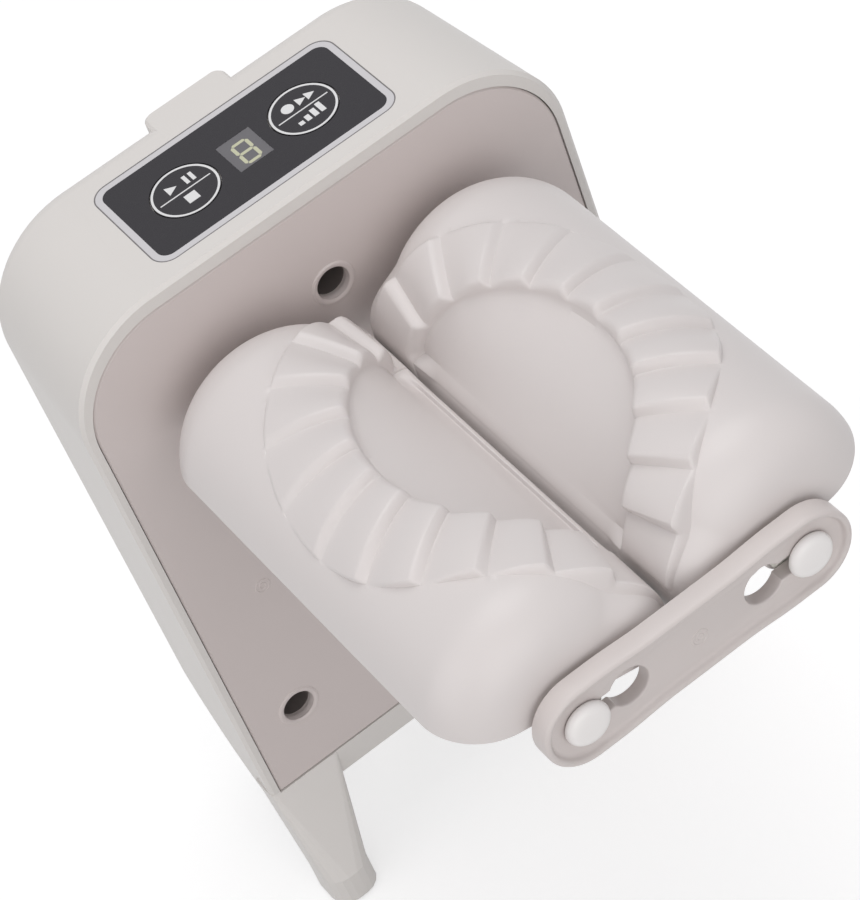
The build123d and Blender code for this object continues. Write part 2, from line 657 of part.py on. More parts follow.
def thrust_washer(x):
    low, high = LINK_REAR_Y + 0.3, ROLLER_FRONT_Y - 0.3
    ring = rod(x, AXIS_Z, WASHER_RADIUS, low, high)
    return (ring - rod(x, AXIS_Z, PIN_RADIUS + 0.3, low - 1, high + 1)).solid()


def link_outline(end_radius, waist, y, thick):
    """A bar with round ends over the two pins and a slightly narrower waist."""
    shape = None
    for x in (-AXIS_X, AXIS_X):
        disc = rod(x, AXIS_Z, end_radius, y, y + thick)
        shape = disc if shape is None else shape + disc
    bar = box((-AXIS_X, AXIS_X), (y, y + thick), (AXIS_Z - waist, AXIS_Z + waist))
    shape = (shape + bar).solid()
    return fillet(shape.edges().filter_by(Axis.Y), 9.0)


def front_link():
    body = link_outline(LINK_END_RADIUS, LINK_WAIST_HALF, LINK_FRONT_Y, LINK_REAR_Y - LINK_FRONT_Y)
    rim = body.faces().sort_by(Axis.Y)[0].edges()
    body = chamfer(rim, 0.5)
    tray = link_outline(LINK_END_RADIUS - LINK_RIM, LINK_WAIST_HALF - LINK_RIM, LINK_FRONT_Y - 1, LINK_FLOOR_Y - LINK_FRONT_Y + 1)
    body -= tray
    for side in (-1, 1):
        x = side * AXIS_X
        inner = x - side * KEYHOLE_OFFSET
        body -= rod(inner, AXIS_Z, KEYHOLE_RADIUS, LINK_FRONT_Y - 2, LINK_REAR_Y + 1)
        body -= rod(x, AXIS_Z, PIN_RADIUS + RUNNING_GAP, LINK_FRONT_Y - 2, LINK_REAR_Y + 1)
        low, high = sorted((x, inner))
        slot = PIN_RADIUS - 0.25
        body -= box((low, high), (LINK_FRONT_Y - 2, LINK_REAR_Y + 1), (AXIS_Z - slot, AXIS_Z + slot))
    return body.solid()


def gear(x, z, phase, bore):
    """A spur gear with straight-sided teeth, its first tooth at the phase angle."""
    tip = PITCH_RADIUS + 0.85 * MODULE
    root = PITCH_RADIUS - 1.2 * MODULE
    step = 360 / TEETH
    corners = ((-0.34, root), (-0.215, PITCH_RADIUS), (-0.11, tip), (0.11, tip), (0.215, PITCH_RADIUS), (0.34, root))
    points = []
    for tooth in range(TEETH):
        for share, radius in corners:
            angle = math.radians(phase + (tooth + share) * step)
            points.append((x + radius * math.cos(angle), z + radius * math.sin(angle)))
    plane = Plane(origin=(0, GEAR_FRONT_Y, 0), x_dir=(1, 0, 0), z_dir=(0, -1, 0))
    with BuildSketch(plane) as sketch:
        with BuildLine():
            Polyline(*points, close=True)
        make_face()
    body = extrude(sketch.sketch, -GEAR_THICK)
    return (body - rod(x, z, bore, GEAR_FRONT_Y - 1, GEAR_FRONT_Y + GEAR_THICK + 1)).solid()


def gear_centres():
    return ((-AXIS_X, AXIS_Z), (-IDLER_X, IDLER_Z), (IDLER_X, IDLER_Z), (AXIS_X, AXIS_Z))


def gear_phases():
    """Tooth phases along the chain, so that each tooth meets a gap of the next gear."""
    step = 360 / TEETH
    phases = [90.0]
    centres = gear_centres()
    for here, there in zip(centres, centres[1:]):
        line = math.degrees(math.atan2(there[1] - here[1], there[0] - here[0]))
        offset = line - phases[-1]
        phases.append(line + 180 + offset - step / 2)
    return phases


def gear_plate():
    """The plate behind the gears that carries the rear bearings, idler axles and gearbox."""
    y = (PLATE_FRONT_Y + SEAT_GAP, PLATE_FRONT_Y + PLATE_THICK)
    plate = box((-PLATE_HALF_X, PLATE_HALF_X), y, (AXIS_Z - PLATE_BELOW, AXIS_Z + PLATE_ABOVE))
    plate = fillet(plate.edges().filter_by(Axis.Y), 5.0)
    notch = box((-8, 8), (y[0] - 1, y[1] + 1), (TOP_SCREW_Z - 8, AXIS_Z + PLATE_ABOVE + 6))
    plate -= fillet(notch.edges().filter_by(Axis.Y), 3.0)
    for side in (-1, 1):
        plate -= rod(side * AXIS_X, AXIS_Z, SHAFT_RADIUS + 2 + SEAT_GAP, y[0] - 1, y[1] + 1)
        plate -= rod(side * IDLER_X, IDLER_Z, 2.0 + SEAT_GAP, y[0] - 1, y[1] + 1)
    for x, z in [*STANDOFFS, *gearbox_screw_positions()]:
        plate -= hex_rod(x, z, SCREW_RADIUS + SEAT_GAP, y[0] - 1, y[1] + 1)
    return plate.solid()


def rear_bushings():
    solids = []
    for side in (-1, 1):
        x = side * AXIS_X
        ring = rod(x, AXIS_Z, SHAFT_RADIUS + 2, PLATE_FRONT_Y - 1.2, PLATE_FRONT_Y + PLATE_THICK - SEAT_GAP)
        ring -= rod(x, AXIS_Z, SHAFT_RADIUS + RUNNING_GAP, PLATE_FRONT_Y - 4, PLATE_FRONT_Y + 6)
        solids.append(ring.solid())
    return Compound(children=solids)


def idler_axles():
    """Two headed axles riveted into the gear plate, which carry the idler gears."""
    solids = []
    for side in (-1, 1):
        x = side * IDLER_X
        axle = rod(x, IDLER_Z, 2.0, GEAR_FRONT_Y - 0.6, PLATE_FRONT_Y + PLATE_THICK + 0.8)
        axle += hex_rod(x, IDLER_Z, 3.4, GEAR_FRONT_Y - 1.6, GEAR_FRONT_Y - 0.3)
        axle += hex_rod(x, IDLER_Z, 3.4, GEAR_FRONT_Y + GEAR_THICK + 0.3, PLATE_FRONT_Y)
        solids.append(axle.solid())
    return Compound(children=solids)


def plate_screws():
    rear = PLATE_FRONT_Y + PLATE_THICK
    solids = []
    for x, z in STANDOFFS:
        screw = hex_rod(x, z, SCREW_HEAD_RADIUS, rear + SEAT_GAP, rear + SCREW_HEAD_THICK)
        screw += hex_rod(x, z, SCREW_RADIUS - SEAT_GAP, rear - 10, rear + 1)
        solids.append(screw.solid())
    return Compound(children=solids)


def gearbox_screw_positions():
    low_x, high_x = GEARBOX_X
    low_z, high_z = GEARBOX_Z
    return ((high_x - 4, low_z + 4), (high_x - 4, high_z - 4), (low_x + 4, high_z - 4))


def gearbox_screws():
    solids = []
    for x, z in gearbox_screw_positions():
        screw = hex_rod(x, z, SCREW_HEAD_RADIUS, PLATE_FRONT_Y - SCREW_HEAD_THICK + SEAT_GAP, PLATE_FRONT_Y)
        screw += hex_rod(x, z, SCREW_RADIUS - SEAT_GAP, PLATE_FRONT_Y - 1, PLATE_FRONT_Y + 9)
        solids.append(screw.solid())
    return Compound(children=solids)


def gearbox_case():
    """The closed worm gearbox; the right shaft runs into it and the motor stands under it."""
    front = PLATE_FRONT_Y + PLATE_THICK + SEAT_GAP
    case = box(GEARBOX_X, (front, GEARBOX_REAR_Y), GEARBOX_Z)
    case = fillet(case.edges().filter_by(Axis.Y), 4.0)
    case = chamfer(case.faces().sort_by(Axis.Y)[-1].edges(), 0.8)
    case -= rod(AXIS_X, AXIS_Z, SHAFT_RADIUS + RUNNING_GAP, front - 1, SHAFT_REAR_Y + 0.3)
    case -= hex_rod(IDLER_X, IDLER_Z, 3.2, front - 1, front + 2)
    for x, z in gearbox_screw_positions():
        case -= hex_rod(x, z, SCREW_RADIUS, front - 1, front + 8)
    ring = post(MOTOR_X, MOTOR_Y, MOTOR_RADIUS - 1.4, GEARBOX_Z[0] - 1.5, GEARBOX_Z[0] + 1)
    return (case + ring).solid()


def motor_can():
    top = GEARBOX_Z[0] - 1.5
    can = post(MOTOR_X, MOTOR_Y, MOTOR_RADIUS, MOTOR_BOTTOM_Z, top - SEAT_GAP)
    can -= box((MOTOR_X - 20, MOTOR_X - 7.7), (20, 50), (MOTOR_BOTTOM_Z - 1, top + 1))
    can -= box((MOTOR_X + 7.7, MOTOR_X + 20), (20, 50), (MOTOR_BOTTOM_Z - 1, top + 1))
    can += post(MOTOR_X, MOTOR_Y, MOTOR_BOSS, MOTOR_BOTTOM_Z - 1.8, MOTOR_BOTTOM_Z + 1)
    return can.solid()


def motor_terminals():
    solids = []
    for side in (-1, 1):
        y = MOTOR_Y + side * 6
        tag = box((MOTOR_X - 1.1, MOTOR_X + 1.1), (y - 0.25, y + 0.25), (MOTOR_BOTTOM_Z - 4.5, MOTOR_BOTTOM_Z - SEAT_GAP))
        solids.append(tag)
    return Compound(children=solids)


def battery_cells():
    solids = []
    for z in CELL_Z:
        cell = Pos(0, CELL_Y, z) * Rot(0, 90, 0) * Cylinder(CELL_RADIUS, CELL_LENGTH - 1.2)
        button = Pos(CELL_LENGTH / 2 - 0.7, CELL_Y, z) * Rot(0, 90, 0) * Cylinder(2.8, 1.4)
        solids.append((cell + button).solid())
    return Compound(children=solids)


def battery_tray():
    """An open tray on the rear wall that cradles the cells; its back rests on the wall."""
    reach = CELL_LENGTH / 2 + 1.2
    low = CELL_Z[0] - CELL_RADIUS - TRAY_WALL - 0.2
    high = CELL_Z[1] + CELL_RADIUS + TRAY_WALL + 0.2
    front = CELL_Y - 3
    back = DEPTH - WALL - SEAT_GAP
    tray = box((-reach - TRAY_WALL, reach + TRAY_WALL), (front, back), (low, high))
    for z in CELL_Z:
        tray -= Pos(0, CELL_Y, z) * Rot(0, 90, 0) * Cylinder(CELL_RADIUS + 0.15, 2 * reach)
        tray -= box((-reach, reach), (front - 1, CELL_Y), (z - CELL_RADIUS - 0.15, z + CELL_RADIUS + 0.15))
    for side in (-1, 1):
        slot = sorted((side * (reach - 0.7), side * (reach + SEAT_GAP)))
        tray -= box(slot, (front - 1, CELL_Y + 4), (CELL_Z[0] - 4.3, CELL_Z[1] + 4.3))
    return tray.solid()


def contact_plates():
    """Nickel strips at both ends of the cells."""
    solids = []
    low, high = CELL_Z[0] - 4, CELL_Z[1] + 4
    reach = CELL_LENGTH / 2 + 1.2
    for side in (-1, 1):
        near, far = sorted((side * (reach - SEAT_GAP), side * (reach - 0.45)))
        strip = box((near, far), (CELL_Y - 3.5, CELL_Y + 3.5), (low, high))
        solids.append(strip)
    return Compound(children=solids)


def charge_port():
    rear = TAB_REAR_Y - 1.2
    shell = box((-PORT_HALF_X, PORT_HALF_X), (rear - 7.3, rear), (PORT_Z - PORT_HALF_Z, PORT_Z + PORT_HALF_Z))
    shell = fillet(shell.edges().filter_by(Axis.Y), 1.5)
    mouth = box((-PORT_HALF_X + 0.35, PORT_HALF_X - 0.35), (rear - 6.2, rear + 1), (PORT_Z - 1.25, PORT_Z + 1.25))
    mouth = fillet(mouth.edges().filter_by(Axis.Y), 1.2)
    tongue = box((-3.1, 3.1), (rear - 6.5, rear - 0.8), (PORT_Z - 0.35, PORT_Z + 0.35))
    return (shell - mouth + tongue).solid()


def charge_board():
    low = PORT_Z - PORT_HALF_Z - 1.0 - SEAT_GAP
    inner = DEPTH - WALL - 0.3
    return box((-9, 9), (inner - 9, inner), (low, low + 1.0))


def charge_board_ledge():
    return box((-10, 10), (DEPTH - WALL - 9, DEPTH - WALL + 0.5), (PORT_Z - 5.6, PORT_Z - PORT_HALF_Z - 1.0 - 2 * SEAT_GAP))


def foot_pads():
    solids = []
    for x, y in pad_positions():
        pad = post(x, y, 4.5, 0, PAD_THICK - SEAT_GAP)
        solids.append(pad.solid())
    return Compound(children=solids)


def shaft_seals():
    """Soft rings in front of the panel bearings, which keep flour out."""
    solids = []
    for x in (-AXIS_X, AXIS_X):
        ring = rod(x, AXIS_Z, 6.4, -3.6, -1.9)
        ring -= rod(x, AXIS_Z, SHAFT_RADIUS + RUNNING_GAP, -9, 1)
        solids.append(ring.solid())
    return Compound(children=solids)


def save(name, shape):
    moved = Pos(0, SHIFT_Y, 0) * shape
    moved.label = name
    export_step(moved, os.path.join("parts", name + ".step"))


def main():
    os.makedirs("parts", exist_ok=True)
    phases = gear_phases()
    centres = gear_centres()
    shaft_bore = SHAFT_RADIUS + SEAT_GAP
    idler_bore = 2.0 + RUNNING_GAP
    roller = left_roller()
    save("housing_shell", (housing_shell() + charge_board_ledge()).solid())
    save("front_panel", front_panel())
    save("overlay_border", overlay_border())
    save("overlay_film", overlay_film())
    save("display_window", display_window())
    save("display_module", display_module())
    save("left_key", key(-KEY_X))
    save("right_key", key(KEY_X))
    save("key_switches", switch_bodies())
    save("control_board", control_board())
    save("board_screws", board_screws())
    save("panel_screws", panel_screws())
    save("left_bushing", bushing(-AXIS_X))
    save("right_bushing", bushing(AXIS_X))
    save("shaft_seals", shaft_seals())
    save("left_roller", roller)
    save("right_roller", mirror(roller, Plane.YZ))
    save("left_drive_shaft", drive_shaft(-AXIS_X))
    save("right_drive_shaft", drive_shaft(AXIS_X))
    save("left_shaft_clip", shaft_clip(-AXIS_X))
    save("right_shaft_clip", shaft_clip(AXIS_X))
    save("left_pivot_pin", pivot_pin(-AXIS_X))
    save("right_pivot_pin", pivot_pin(AXIS_X))
    save("left_thrust_washer", thrust_washer(-AXIS_X))
    save("right_thrust_washer", thrust_washer(AXIS_X))
    save("front_link", front_link())
    bores = (shaft_bore, idler_bore, idler_bore, shaft_bore)
    names = ("left_gear", "left_idler", "right_idler", "right_gear")
    for name, (x, z), phase, bore in zip(names, centres, phases, bores):
        save(name, gear(x, z, phase, bore))
    save("gear_plate", gear_plate())
    save("rear_bushings", rear_bushings())
    save("idler_axles", idler_axles())
    save("plate_screws", plate_screws())
    save("gearbox_screws", gearbox_screws())
    save("gearbox_case", gearbox_case())
    save("motor_can", motor_can())
    save("motor_terminals", motor_terminals())
    save("battery_tray", battery_tray())
    save("battery_cells", battery_cells())
    save("battery_contacts", contact_plates())
    save("charge_port", charge_port())
    save("charge_board", charge_board())
    save("foot_pads", foot_pads())


if __name__ == "__main__":
    main()
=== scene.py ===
import bmesh
import bpy
import math
import numpy as np
from mathutils import Matrix, Vector
from mathutils.geometry import tessellate_polygon


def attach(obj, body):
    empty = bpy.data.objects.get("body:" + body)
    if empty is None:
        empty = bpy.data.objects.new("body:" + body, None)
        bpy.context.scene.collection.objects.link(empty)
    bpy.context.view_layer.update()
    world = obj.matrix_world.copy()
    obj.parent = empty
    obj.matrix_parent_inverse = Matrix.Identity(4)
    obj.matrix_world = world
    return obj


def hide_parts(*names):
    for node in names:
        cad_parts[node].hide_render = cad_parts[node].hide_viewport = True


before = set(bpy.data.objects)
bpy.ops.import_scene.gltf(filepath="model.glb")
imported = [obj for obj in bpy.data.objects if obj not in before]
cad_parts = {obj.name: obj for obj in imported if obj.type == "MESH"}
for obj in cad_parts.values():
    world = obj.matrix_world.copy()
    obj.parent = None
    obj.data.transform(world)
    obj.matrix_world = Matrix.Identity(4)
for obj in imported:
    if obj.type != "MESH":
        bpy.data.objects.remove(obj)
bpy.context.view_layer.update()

# Places and sizes are in millimetres in the CAD's frame: x to the right, y to the rear, z up
MM = 0.001
AXIS_X, AXIS_Z = 31.3, 169.7      # the rollers' axes
PANEL_Y = 44.8                    # the panel's front face
TOP = 214.0                       # the housing's top

# What every material's soft mottling and fine grain have in common
MOTTLE_SCALE, MOTTLE_DETAIL = 22.0, 4.0
GRAIN_DETAIL = 3.0
ROUGHNESS_SPREAD = 0.06
BUMP_DISTANCE = 0.0001
SHELL, MOULD = 2600, 2400         # the grain of the housing's and of the smaller mouldings


def srgb(r, g, b):
    """A colour of 0 to 255 in linear values."""
    linear = []
    for value in (r, g, b):
        share = value / 255
        linear.append(share / 12.92 if share <= 0.04045 else ((share + 0.055) / 1.055) ** 2.4)
    return tuple(linear)


def noise(tree, scale, detail):
    """A noise texture that stays fixed to the object."""
    place = tree.nodes.new("ShaderNodeTexCoord")
    texture = tree.nodes.new("ShaderNodeTexNoise")
    texture.inputs["Scale"].default_value = scale
    texture.inputs["Detail"].default_value = detail
    tree.links.new(place.outputs["Object"], texture.inputs["Vector"])
    return texture.outputs["Fac"]


def add_mottle(tree, shader, colour, amount):
    """The base colour, a little darker and lighter in soft spots."""
    mix = tree.nodes.new("ShaderNodeMix")
    mix.data_type = "RGBA"
    mix.inputs["A"].default_value = (*[c * (1 - amount) for c in colour], 1)
    mix.inputs["B"].default_value = (*[c * (1 + amount) for c in colour], 1)
    tree.links.new(noise(tree, MOTTLE_SCALE, MOTTLE_DETAIL), mix.inputs["Factor"])
    tree.links.new(mix.outputs["Result"], shader.inputs["Base Color"])


def add_grain(tree, shader, scale, roughness, strength):
    """Fine grain in the roughness and in the bump."""
    grain = noise(tree, scale, GRAIN_DETAIL)
    spread = tree.nodes.new("ShaderNodeMapRange")
    spread.inputs["To Min"].default_value = roughness - ROUGHNESS_SPREAD
    spread.inputs["To Max"].default_value = roughness + ROUGHNESS_SPREAD
    tree.links.new(grain, spread.inputs["Value"])
    tree.links.new(spread.outputs["Result"], shader.inputs["Roughness"])
    bump = tree.nodes.new("ShaderNodeBump")
    bump.inputs["Strength"].default_value = strength
    bump.inputs["Distance"].default_value = BUMP_DISTANCE
    tree.links.new(grain, bump.inputs["Height"])
    tree.links.new(bump.outputs["Normal"], shader.inputs["Normal"])


def material(name, colour, roughness, bump, mottle, grain=900,
             metallic=0.0, coat=0.0, transmission=0.0, ior=1.47):
    """A node material with a mottled colour and fine grain."""
    new = bpy.data.materials.new(name)
    new.use_nodes = True
    shader = new.node_tree.nodes["Principled BSDF"]
    shader.inputs["Metallic"].default_value = metallic
    shader.inputs["IOR"].default_value = ior
    shader.inputs["Coat Weight"].default_value = coat
    shader.inputs["Transmission Weight"].default_value = transmission
    add_mottle(new.node_tree, shader, colour, mottle)
    add_grain(new.node_tree, shader, grain, roughness, bump)
    return new


FINISH = {
    "body": material("moulded_shell", srgb(219, 215, 211), 0.42, bump=0.10, mottle=0.012, grain=SHELL),
    "panel": material("moulded_panel", srgb(208, 198, 195), 0.46, bump=0.14, mottle=0.014, grain=SHELL),
    "roller": material("moulded_roller", srgb(219, 213, 211), 0.38, bump=0.08, mottle=0.012, grain=MOULD),
    "link": material("moulded_link", srgb(211, 203, 200), 0.40, bump=0.08, mottle=0.012, grain=MOULD),
    "pin": material("moulded_pin", srgb(243, 240, 238), 0.34, bump=0.05, mottle=0.01, grain=MOULD),
    "film": material("printed_film", srgb(15, 9, 19), 0.26, bump=0.01, mottle=0.05, coat=0.05),
    "ink": material("white_ink", srgb(226, 226, 226), 0.40, bump=0.02, mottle=0.01),
    "border": material("silver_border", srgb(206, 204, 206), 0.40, bump=0.03, mottle=0.01),
    # The line round the silver border: painted shadow at its edge
    "line": material("shadow_line", srgb(120, 117, 118), 0.60, bump=0.03, mottle=0.02),
    "window": material("smoked_window", srgb(128, 126, 130), 0.12, bump=0.004, mottle=0.01,
                       transmission=0.35, ior=1.45),
    "segment": material("display_segment", srgb(196, 196, 168), 0.45, bump=0.02, mottle=0.02),
    "display": material("display_back", srgb(108, 106, 108), 0.50, bump=0.02, mottle=0.03),
    "board": material("circuit_board", srgb(38, 96, 58), 0.42, bump=0.10, mottle=0.08),
    "steel": material("turned_steel", srgb(176, 176, 178), 0.30, bump=0.03, mottle=0.05, grain=500,
                      metallic=1.0),
    "bronze": material("bearing_bronze", srgb(186, 150, 96), 0.38, bump=0.05, mottle=0.06, metallic=1.0),
    "acetal": material("natural_acetal", srgb(228, 227, 220), 0.38, bump=0.05, mottle=0.02),
    "seal": material("soft_seal", srgb(122, 120, 120), 0.75, bump=0.20, mottle=0.05),
    "rubber": material("foot_rubber", srgb(70, 69, 70), 0.80, bump=0.35, mottle=0.08),
    "dark": material("dark_moulding", srgb(58, 57, 58), 0.50, bump=0.10, mottle=0.05),
    # The screw holes' dark sleeves: painted shade in the holes' depth
    "shade": material("painted_hole_shade", srgb(104, 97, 94), 0.60, bump=0.08, mottle=0.03),
    "cell": material("cell_wrap", srgb(70, 110, 168), 0.35, bump=0.03, mottle=0.04),
    "nickel": material("nickel_plate", srgb(188, 184, 178), 0.28, bump=0.02, mottle=0.05, metallic=1.0),
}

NODE_FINISH = {
    "housing_shell": "body", "front_panel": "panel", "overlay_border": "border", "overlay_film": "film",
    "display_window": "window", "display_module": "display", "left_key": "film", "right_key": "film",
    "key_switches": "dark", "control_board": "board", "board_screws": "steel", "panel_screws": "steel",
    "left_bushing": "acetal", "right_bushing": "acetal", "shaft_seals": "seal", "left_roller": "roller",
    "right_roller": "roller", "left_drive_shaft": "steel", "right_drive_shaft": "steel",
    "left_shaft_clip": "steel", "right_shaft_clip": "steel",
    "left_pivot_pin": "pin", "right_pivot_pin": "pin",
    "left_thrust_washer": "acetal", "right_thrust_washer": "acetal", "front_link": "link",
    "left_gear": "acetal", "left_idler": "acetal", "right_idler": "acetal", "right_gear": "acetal",
    "gear_plate": "steel", "rear_bushings": "bronze", "idler_axles": "steel", "plate_screws": "steel",
    "gearbox_screws": "steel", "gearbox_case": "dark", "motor_can": "nickel", "motor_terminals": "bronze",
    "battery_tray": "dark", "battery_cells": "cell", "battery_contacts": "nickel", "charge_port": "nickel",
    "charge_board": "board", "foot_pads": "rubber",
}
for name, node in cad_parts.items():
    finish = FINISH[NODE_FINISH[name]]
    if not node.material_slots:
        node.data.materials.append(finish)
    for slot in node.material_slots:
        slot.material = finish

# What the pieces made here share
MERGE = 2e-6                      # points closer than this, in metres, become one
SHARP_ROLLER, SHARP_PRINT, SHARP_TURNED = 28, 30, 40      # edges from this angle on stay sharp, in degrees


def link_to_scene(name, data):
    """A new object in the scene."""
    new = bpy.data.objects.new(name, data)
    bpy.context.scene.collection.objects.link(new)
    return new


def mesh_piece(name, verts, faces, finish, body, sharp):
    """A mesh in millimetres becomes a piece in metres that rides on a body."""
    mesh = bpy.data.meshes.new(name)
    mesh.from_pydata([(x * MM, y * MM, z * MM) for x, y, z in verts], [], faces)
    bm = bmesh.new()
    bm.from_mesh(mesh)
    bmesh.ops.remove_doubles(bm, verts=bm.verts, dist=MERGE)
    bmesh.ops.recalc_face_normals(bm, faces=bm.faces)
    bm.to_mesh(mesh)
    bm.free()
    mesh.validate()
    mesh.polygons.foreach_set("use_smooth", [True] * len(mesh.polygons))
    mesh.set_sharp_from_angle(angle=math.radians(sharp))
    mesh.update()
    mesh.materials.append(FINISH[finish])
    piece = link_to_scene(name, mesh)
    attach(piece, body)
    return piece


def add_walls(verts, faces, loops, closed=False):
    """Joins loops of equal length by walls, if closed also the last to the first; gives where each starts."""
    count = len(loops[0])
    starts = [len(verts) + count * i for i in range(len(loops))]
    for loop in loops:
        verts.extend(loop)
    following = starts[1:] + starts[:1] if closed else starts[1:]
    for a, b in zip(starts, following):
        for k in range(count):
            j = (k + 1) % count
            faces.append([a + k, b + k, b + j, a + j])
    return starts


def circle(cx, cy, radius, count=64):
    """Evenly spaced points on a circle; with a count of 3 a triangle that points to the right."""
    angles = [2 * math.pi * k / count for k in range(count)]
    return [(cx + radius * math.cos(t), cy + radius * math.sin(t)) for t in angles]


def smooth(a, b, x):
    """0 up to a, 1 from b on, and an even turn between them."""
    t = min(1.0, max(0.0, (x - a) / (b - a)))
    return t * t * (3 - 2 * t)


def blend(a, b, t):
    """From a (t 0) to b (t 1)."""
    return a + (b - a) * t


def quarter_round(t):
    """The rise of a quarter circle, from 0 to 1."""
    return math.sqrt(max(0.0, 1 - (1 - t) ** 2))


# Rollers: a half loaf with a pocket, a fan of pleats, a lip at the nip, a hub and ribs.
# Both are drawn as the left one, with its axis at the origin. On its skin, u is the arc from the pocket's
# straight side over the body, and v the distance to the rear of the pocket's middle. A column of points
# starts on the straight side, crosses the pocket, and goes on in a direction phi as seen from that middle:
# 0 is the nip's rear end and half a turn its front end.
RADIUS = 28.4                     # the plain body's
REAR, FRONT = 39.6, -90.4
END_ROUND = 15.5
WALL = 2.4
OPEN_TILT = 12.0                  # the open side's turn from level, in degrees
POLE_RADIUS = 3.6                 # where the end faces stop, inside the hub
HUB_RADIUS, HUB_BORE, HUB_CHAMFER, HUB_INSET = 8.5, 3.0, 0.4, 0.06
RIB_Y = (6.8, -25.7, -58.2)
RIB_HALF, RIB_OVERLAP = 1.0, 0.3
NIP_ANGLE = 8.0                   # the pocket's straight side, in degrees above the nip
POCKET_Y = -25.8                  # the pocket's middle
BODY_STEPS = 26
PROFILE_STEPS = 400

# Worked out from these: S_ runs along the body from its middle, U_ round it from level
MIDDLE_Y = (REAR + FRONT) / 2
HALF_LENGTH = (REAR - FRONT) / 2
FLAT = HALF_LENGTH - END_ROUND
ROUND_ARC = END_ROUND * math.pi / 2
S_END = FLAT + ROUND_ARC + (RADIUS - END_ROUND - POLE_RADIUS)
S_POCKET = POCKET_Y - MIDDLE_Y
U_NIP = math.radians(NIP_ANGLE) * RADIUS
U_LOW = math.radians(-OPEN_TILT) * RADIUS
U_HIGH = math.radians(180 - OPEN_TILT) * RADIUS
TINY = 1e-6                       # keeps divisions and comparisons safe

# The flange: the body's thin straight edge at the nip, which meets the other roller
FLANGE_LEFT, FLANGE_RIGHT = 31.0, 30.2
FLANGE_STRAIGHT, FLANGE_CORNER = 57.0, 9.0      # half its straight length, and the corner's width
FULL_REACH, LIFT_REACH, CORNER_REACH = 18.0, 8.0, 6.0      # how far round and along it makes the body fuller

# The pocket: a nearly flat floor between the straight side and a curved edge
POCKET_REACH, POCKET_NEARER, POCKET_SKEW = 41.8, 2.6, 1.45
FLOOR_EDGE, FLOOR_START = 27.0, 26.85           # the floor's radius at its curved edge and at the lip
FLOOR_ANGLE, FLOOR_HEIGHT = 51.4, 20.6          # its plane's tilt in degrees and distance from the axis
FLOOR_CROWN, FLOOR_WIDTH = 1.2, 42.0
BOWL_POWER = 0.6                  # how the floor rises to its ends
# Shares of the way across the floor
FLOOR_STEPS = (0.05, 0.1, 0.17, 0.25, 0.34, 0.44, 0.54, 0.64, 0.74, 0.82, 0.89, 0.94, 0.98, 1.0)
EDGE_BLEND, OPEN_BLEND = (0.3, 3.0), (0.5, 4.0)      # arcs over which the pocket opens at its two ends

# The left roller's lip, from its outer corner over the top and the crease to the floor (toward the nip, up)
LIP_SECTION = ((31.22, 1.6), (31.2, 2.05), (31.08, 2.42), (30.85, 2.72), (30.55, 2.97), (30.25, 3.15),
               (29.98, 3.15), (29.78, 2.92), (29.64, 2.5), (29.45, 2.2), (29.15, 2.2), (28.7, 2.62),
               (27.6, 3.85), (26.3, 5.4))
LIP_WIDTH = 1.8
LIP_INSIDE = (26.3, 24.5)         # the hollow side's radius under it
LIP_FADE, NIP_FADE = (34.0, 41.4), (34.0, 41.5)      # where lip and nip give way to the body, from the middle
WEDGE_POWER = 1.5                 # how the wedge at the pocket's ends curves
# The right roller has turned a little further, so its floor rolls off into the nip on this curve
SHOULDER_CURVE = ((28.85, 2.2), (28.2, 3.65), (26.3, 5.4))      # its start, the point that bends it, its end
SHOULDER = 29.0                   # the radius at its straight side
# Below it the right roller goes on down into the nip (arc below the straight side, radius)
BULGE = ((1.8, 28.93), (2.8, 29.32), (3.8, 29.65), (4.9, 29.97), (6.0, 30.23), (7.3, 30.46), (8.4, 30.5),
         (9.9, 30.4))
BULGE_BLEND = 0.07
# Shares of the way round the nip
NIP_STEPS = (0.02, 0.07, 0.14, 0.22, 0.32, 0.44, 0.56, 0.68, 0.8, 0.9, 1.0)
NIP_DROP_LEFT, NIP_DROP_RIGHT = 2.2, 1.2        # the radius's fall round the nip; the right one's is inside

# The pleats
PLEATS = 12
PLEAT_SAMPLES = 32
PLEAT_SHIFT = 4.4                 # they bunch towards the front by up to this many degrees
SHIFT_ROUNDS = 6                  # rounds of the search for the shift
PLEAT_CREST = 0.85                # where in its pitch a pleat is highest
CREST_POWER, VALLEY_POWER = 1.2, 1.5
CREST_INNER, CREST_OUTER = 30.95, 28.85         # the crests' radius at the band's two edges
CREST_SLOPE = 1.3
CREST_RAISED, CREST_AT_NIP = 1.5, 0.5           # how much higher the outer one is at the front and at the nip
CREST_TURN = (math.radians(80), math.radians(120))
NIP_POWER = 8
VALLEY_INNER, VALLEY_DROP = 28.6, 0.35
# How far the pleated band reaches from the pocket's middle, and how much further at the front and the side
BAND_REACH, BAND_FRONT, BAND_SIDE = 58.0, 2.6, 5.4
BAND_TURN = (math.radians(60), math.radians(130))
SIDE_SPREAD, SIDE_POWER = 1.9, 1.5
ROUND_WIDTH, RIM_WIDTH, RIM_ROUND = 2.4, 1.2, 1.0      # the pleats' rounded inner and outer ends
# Distances from the pleats' inner end and from their rim
ROUND_STEPS = (0.06, 0.2, 0.45, 0.8, 1.2, 1.7, ROUND_WIDTH)
RIM_STEPS = (0.9, 0.5, 0.22, 0.06)
EVEN_STEPS = 8                    # steps between the two
NIP_BLEND = (0.5, 1.7)            # arc over which a pleat meets the flange
HOLLOW_DIP, HOLLOW_REACH = 1.4, 8.0             # the hollow side's step round the pocket
RIM_GAP = 0.1                     # between the rim and the plain body's first point


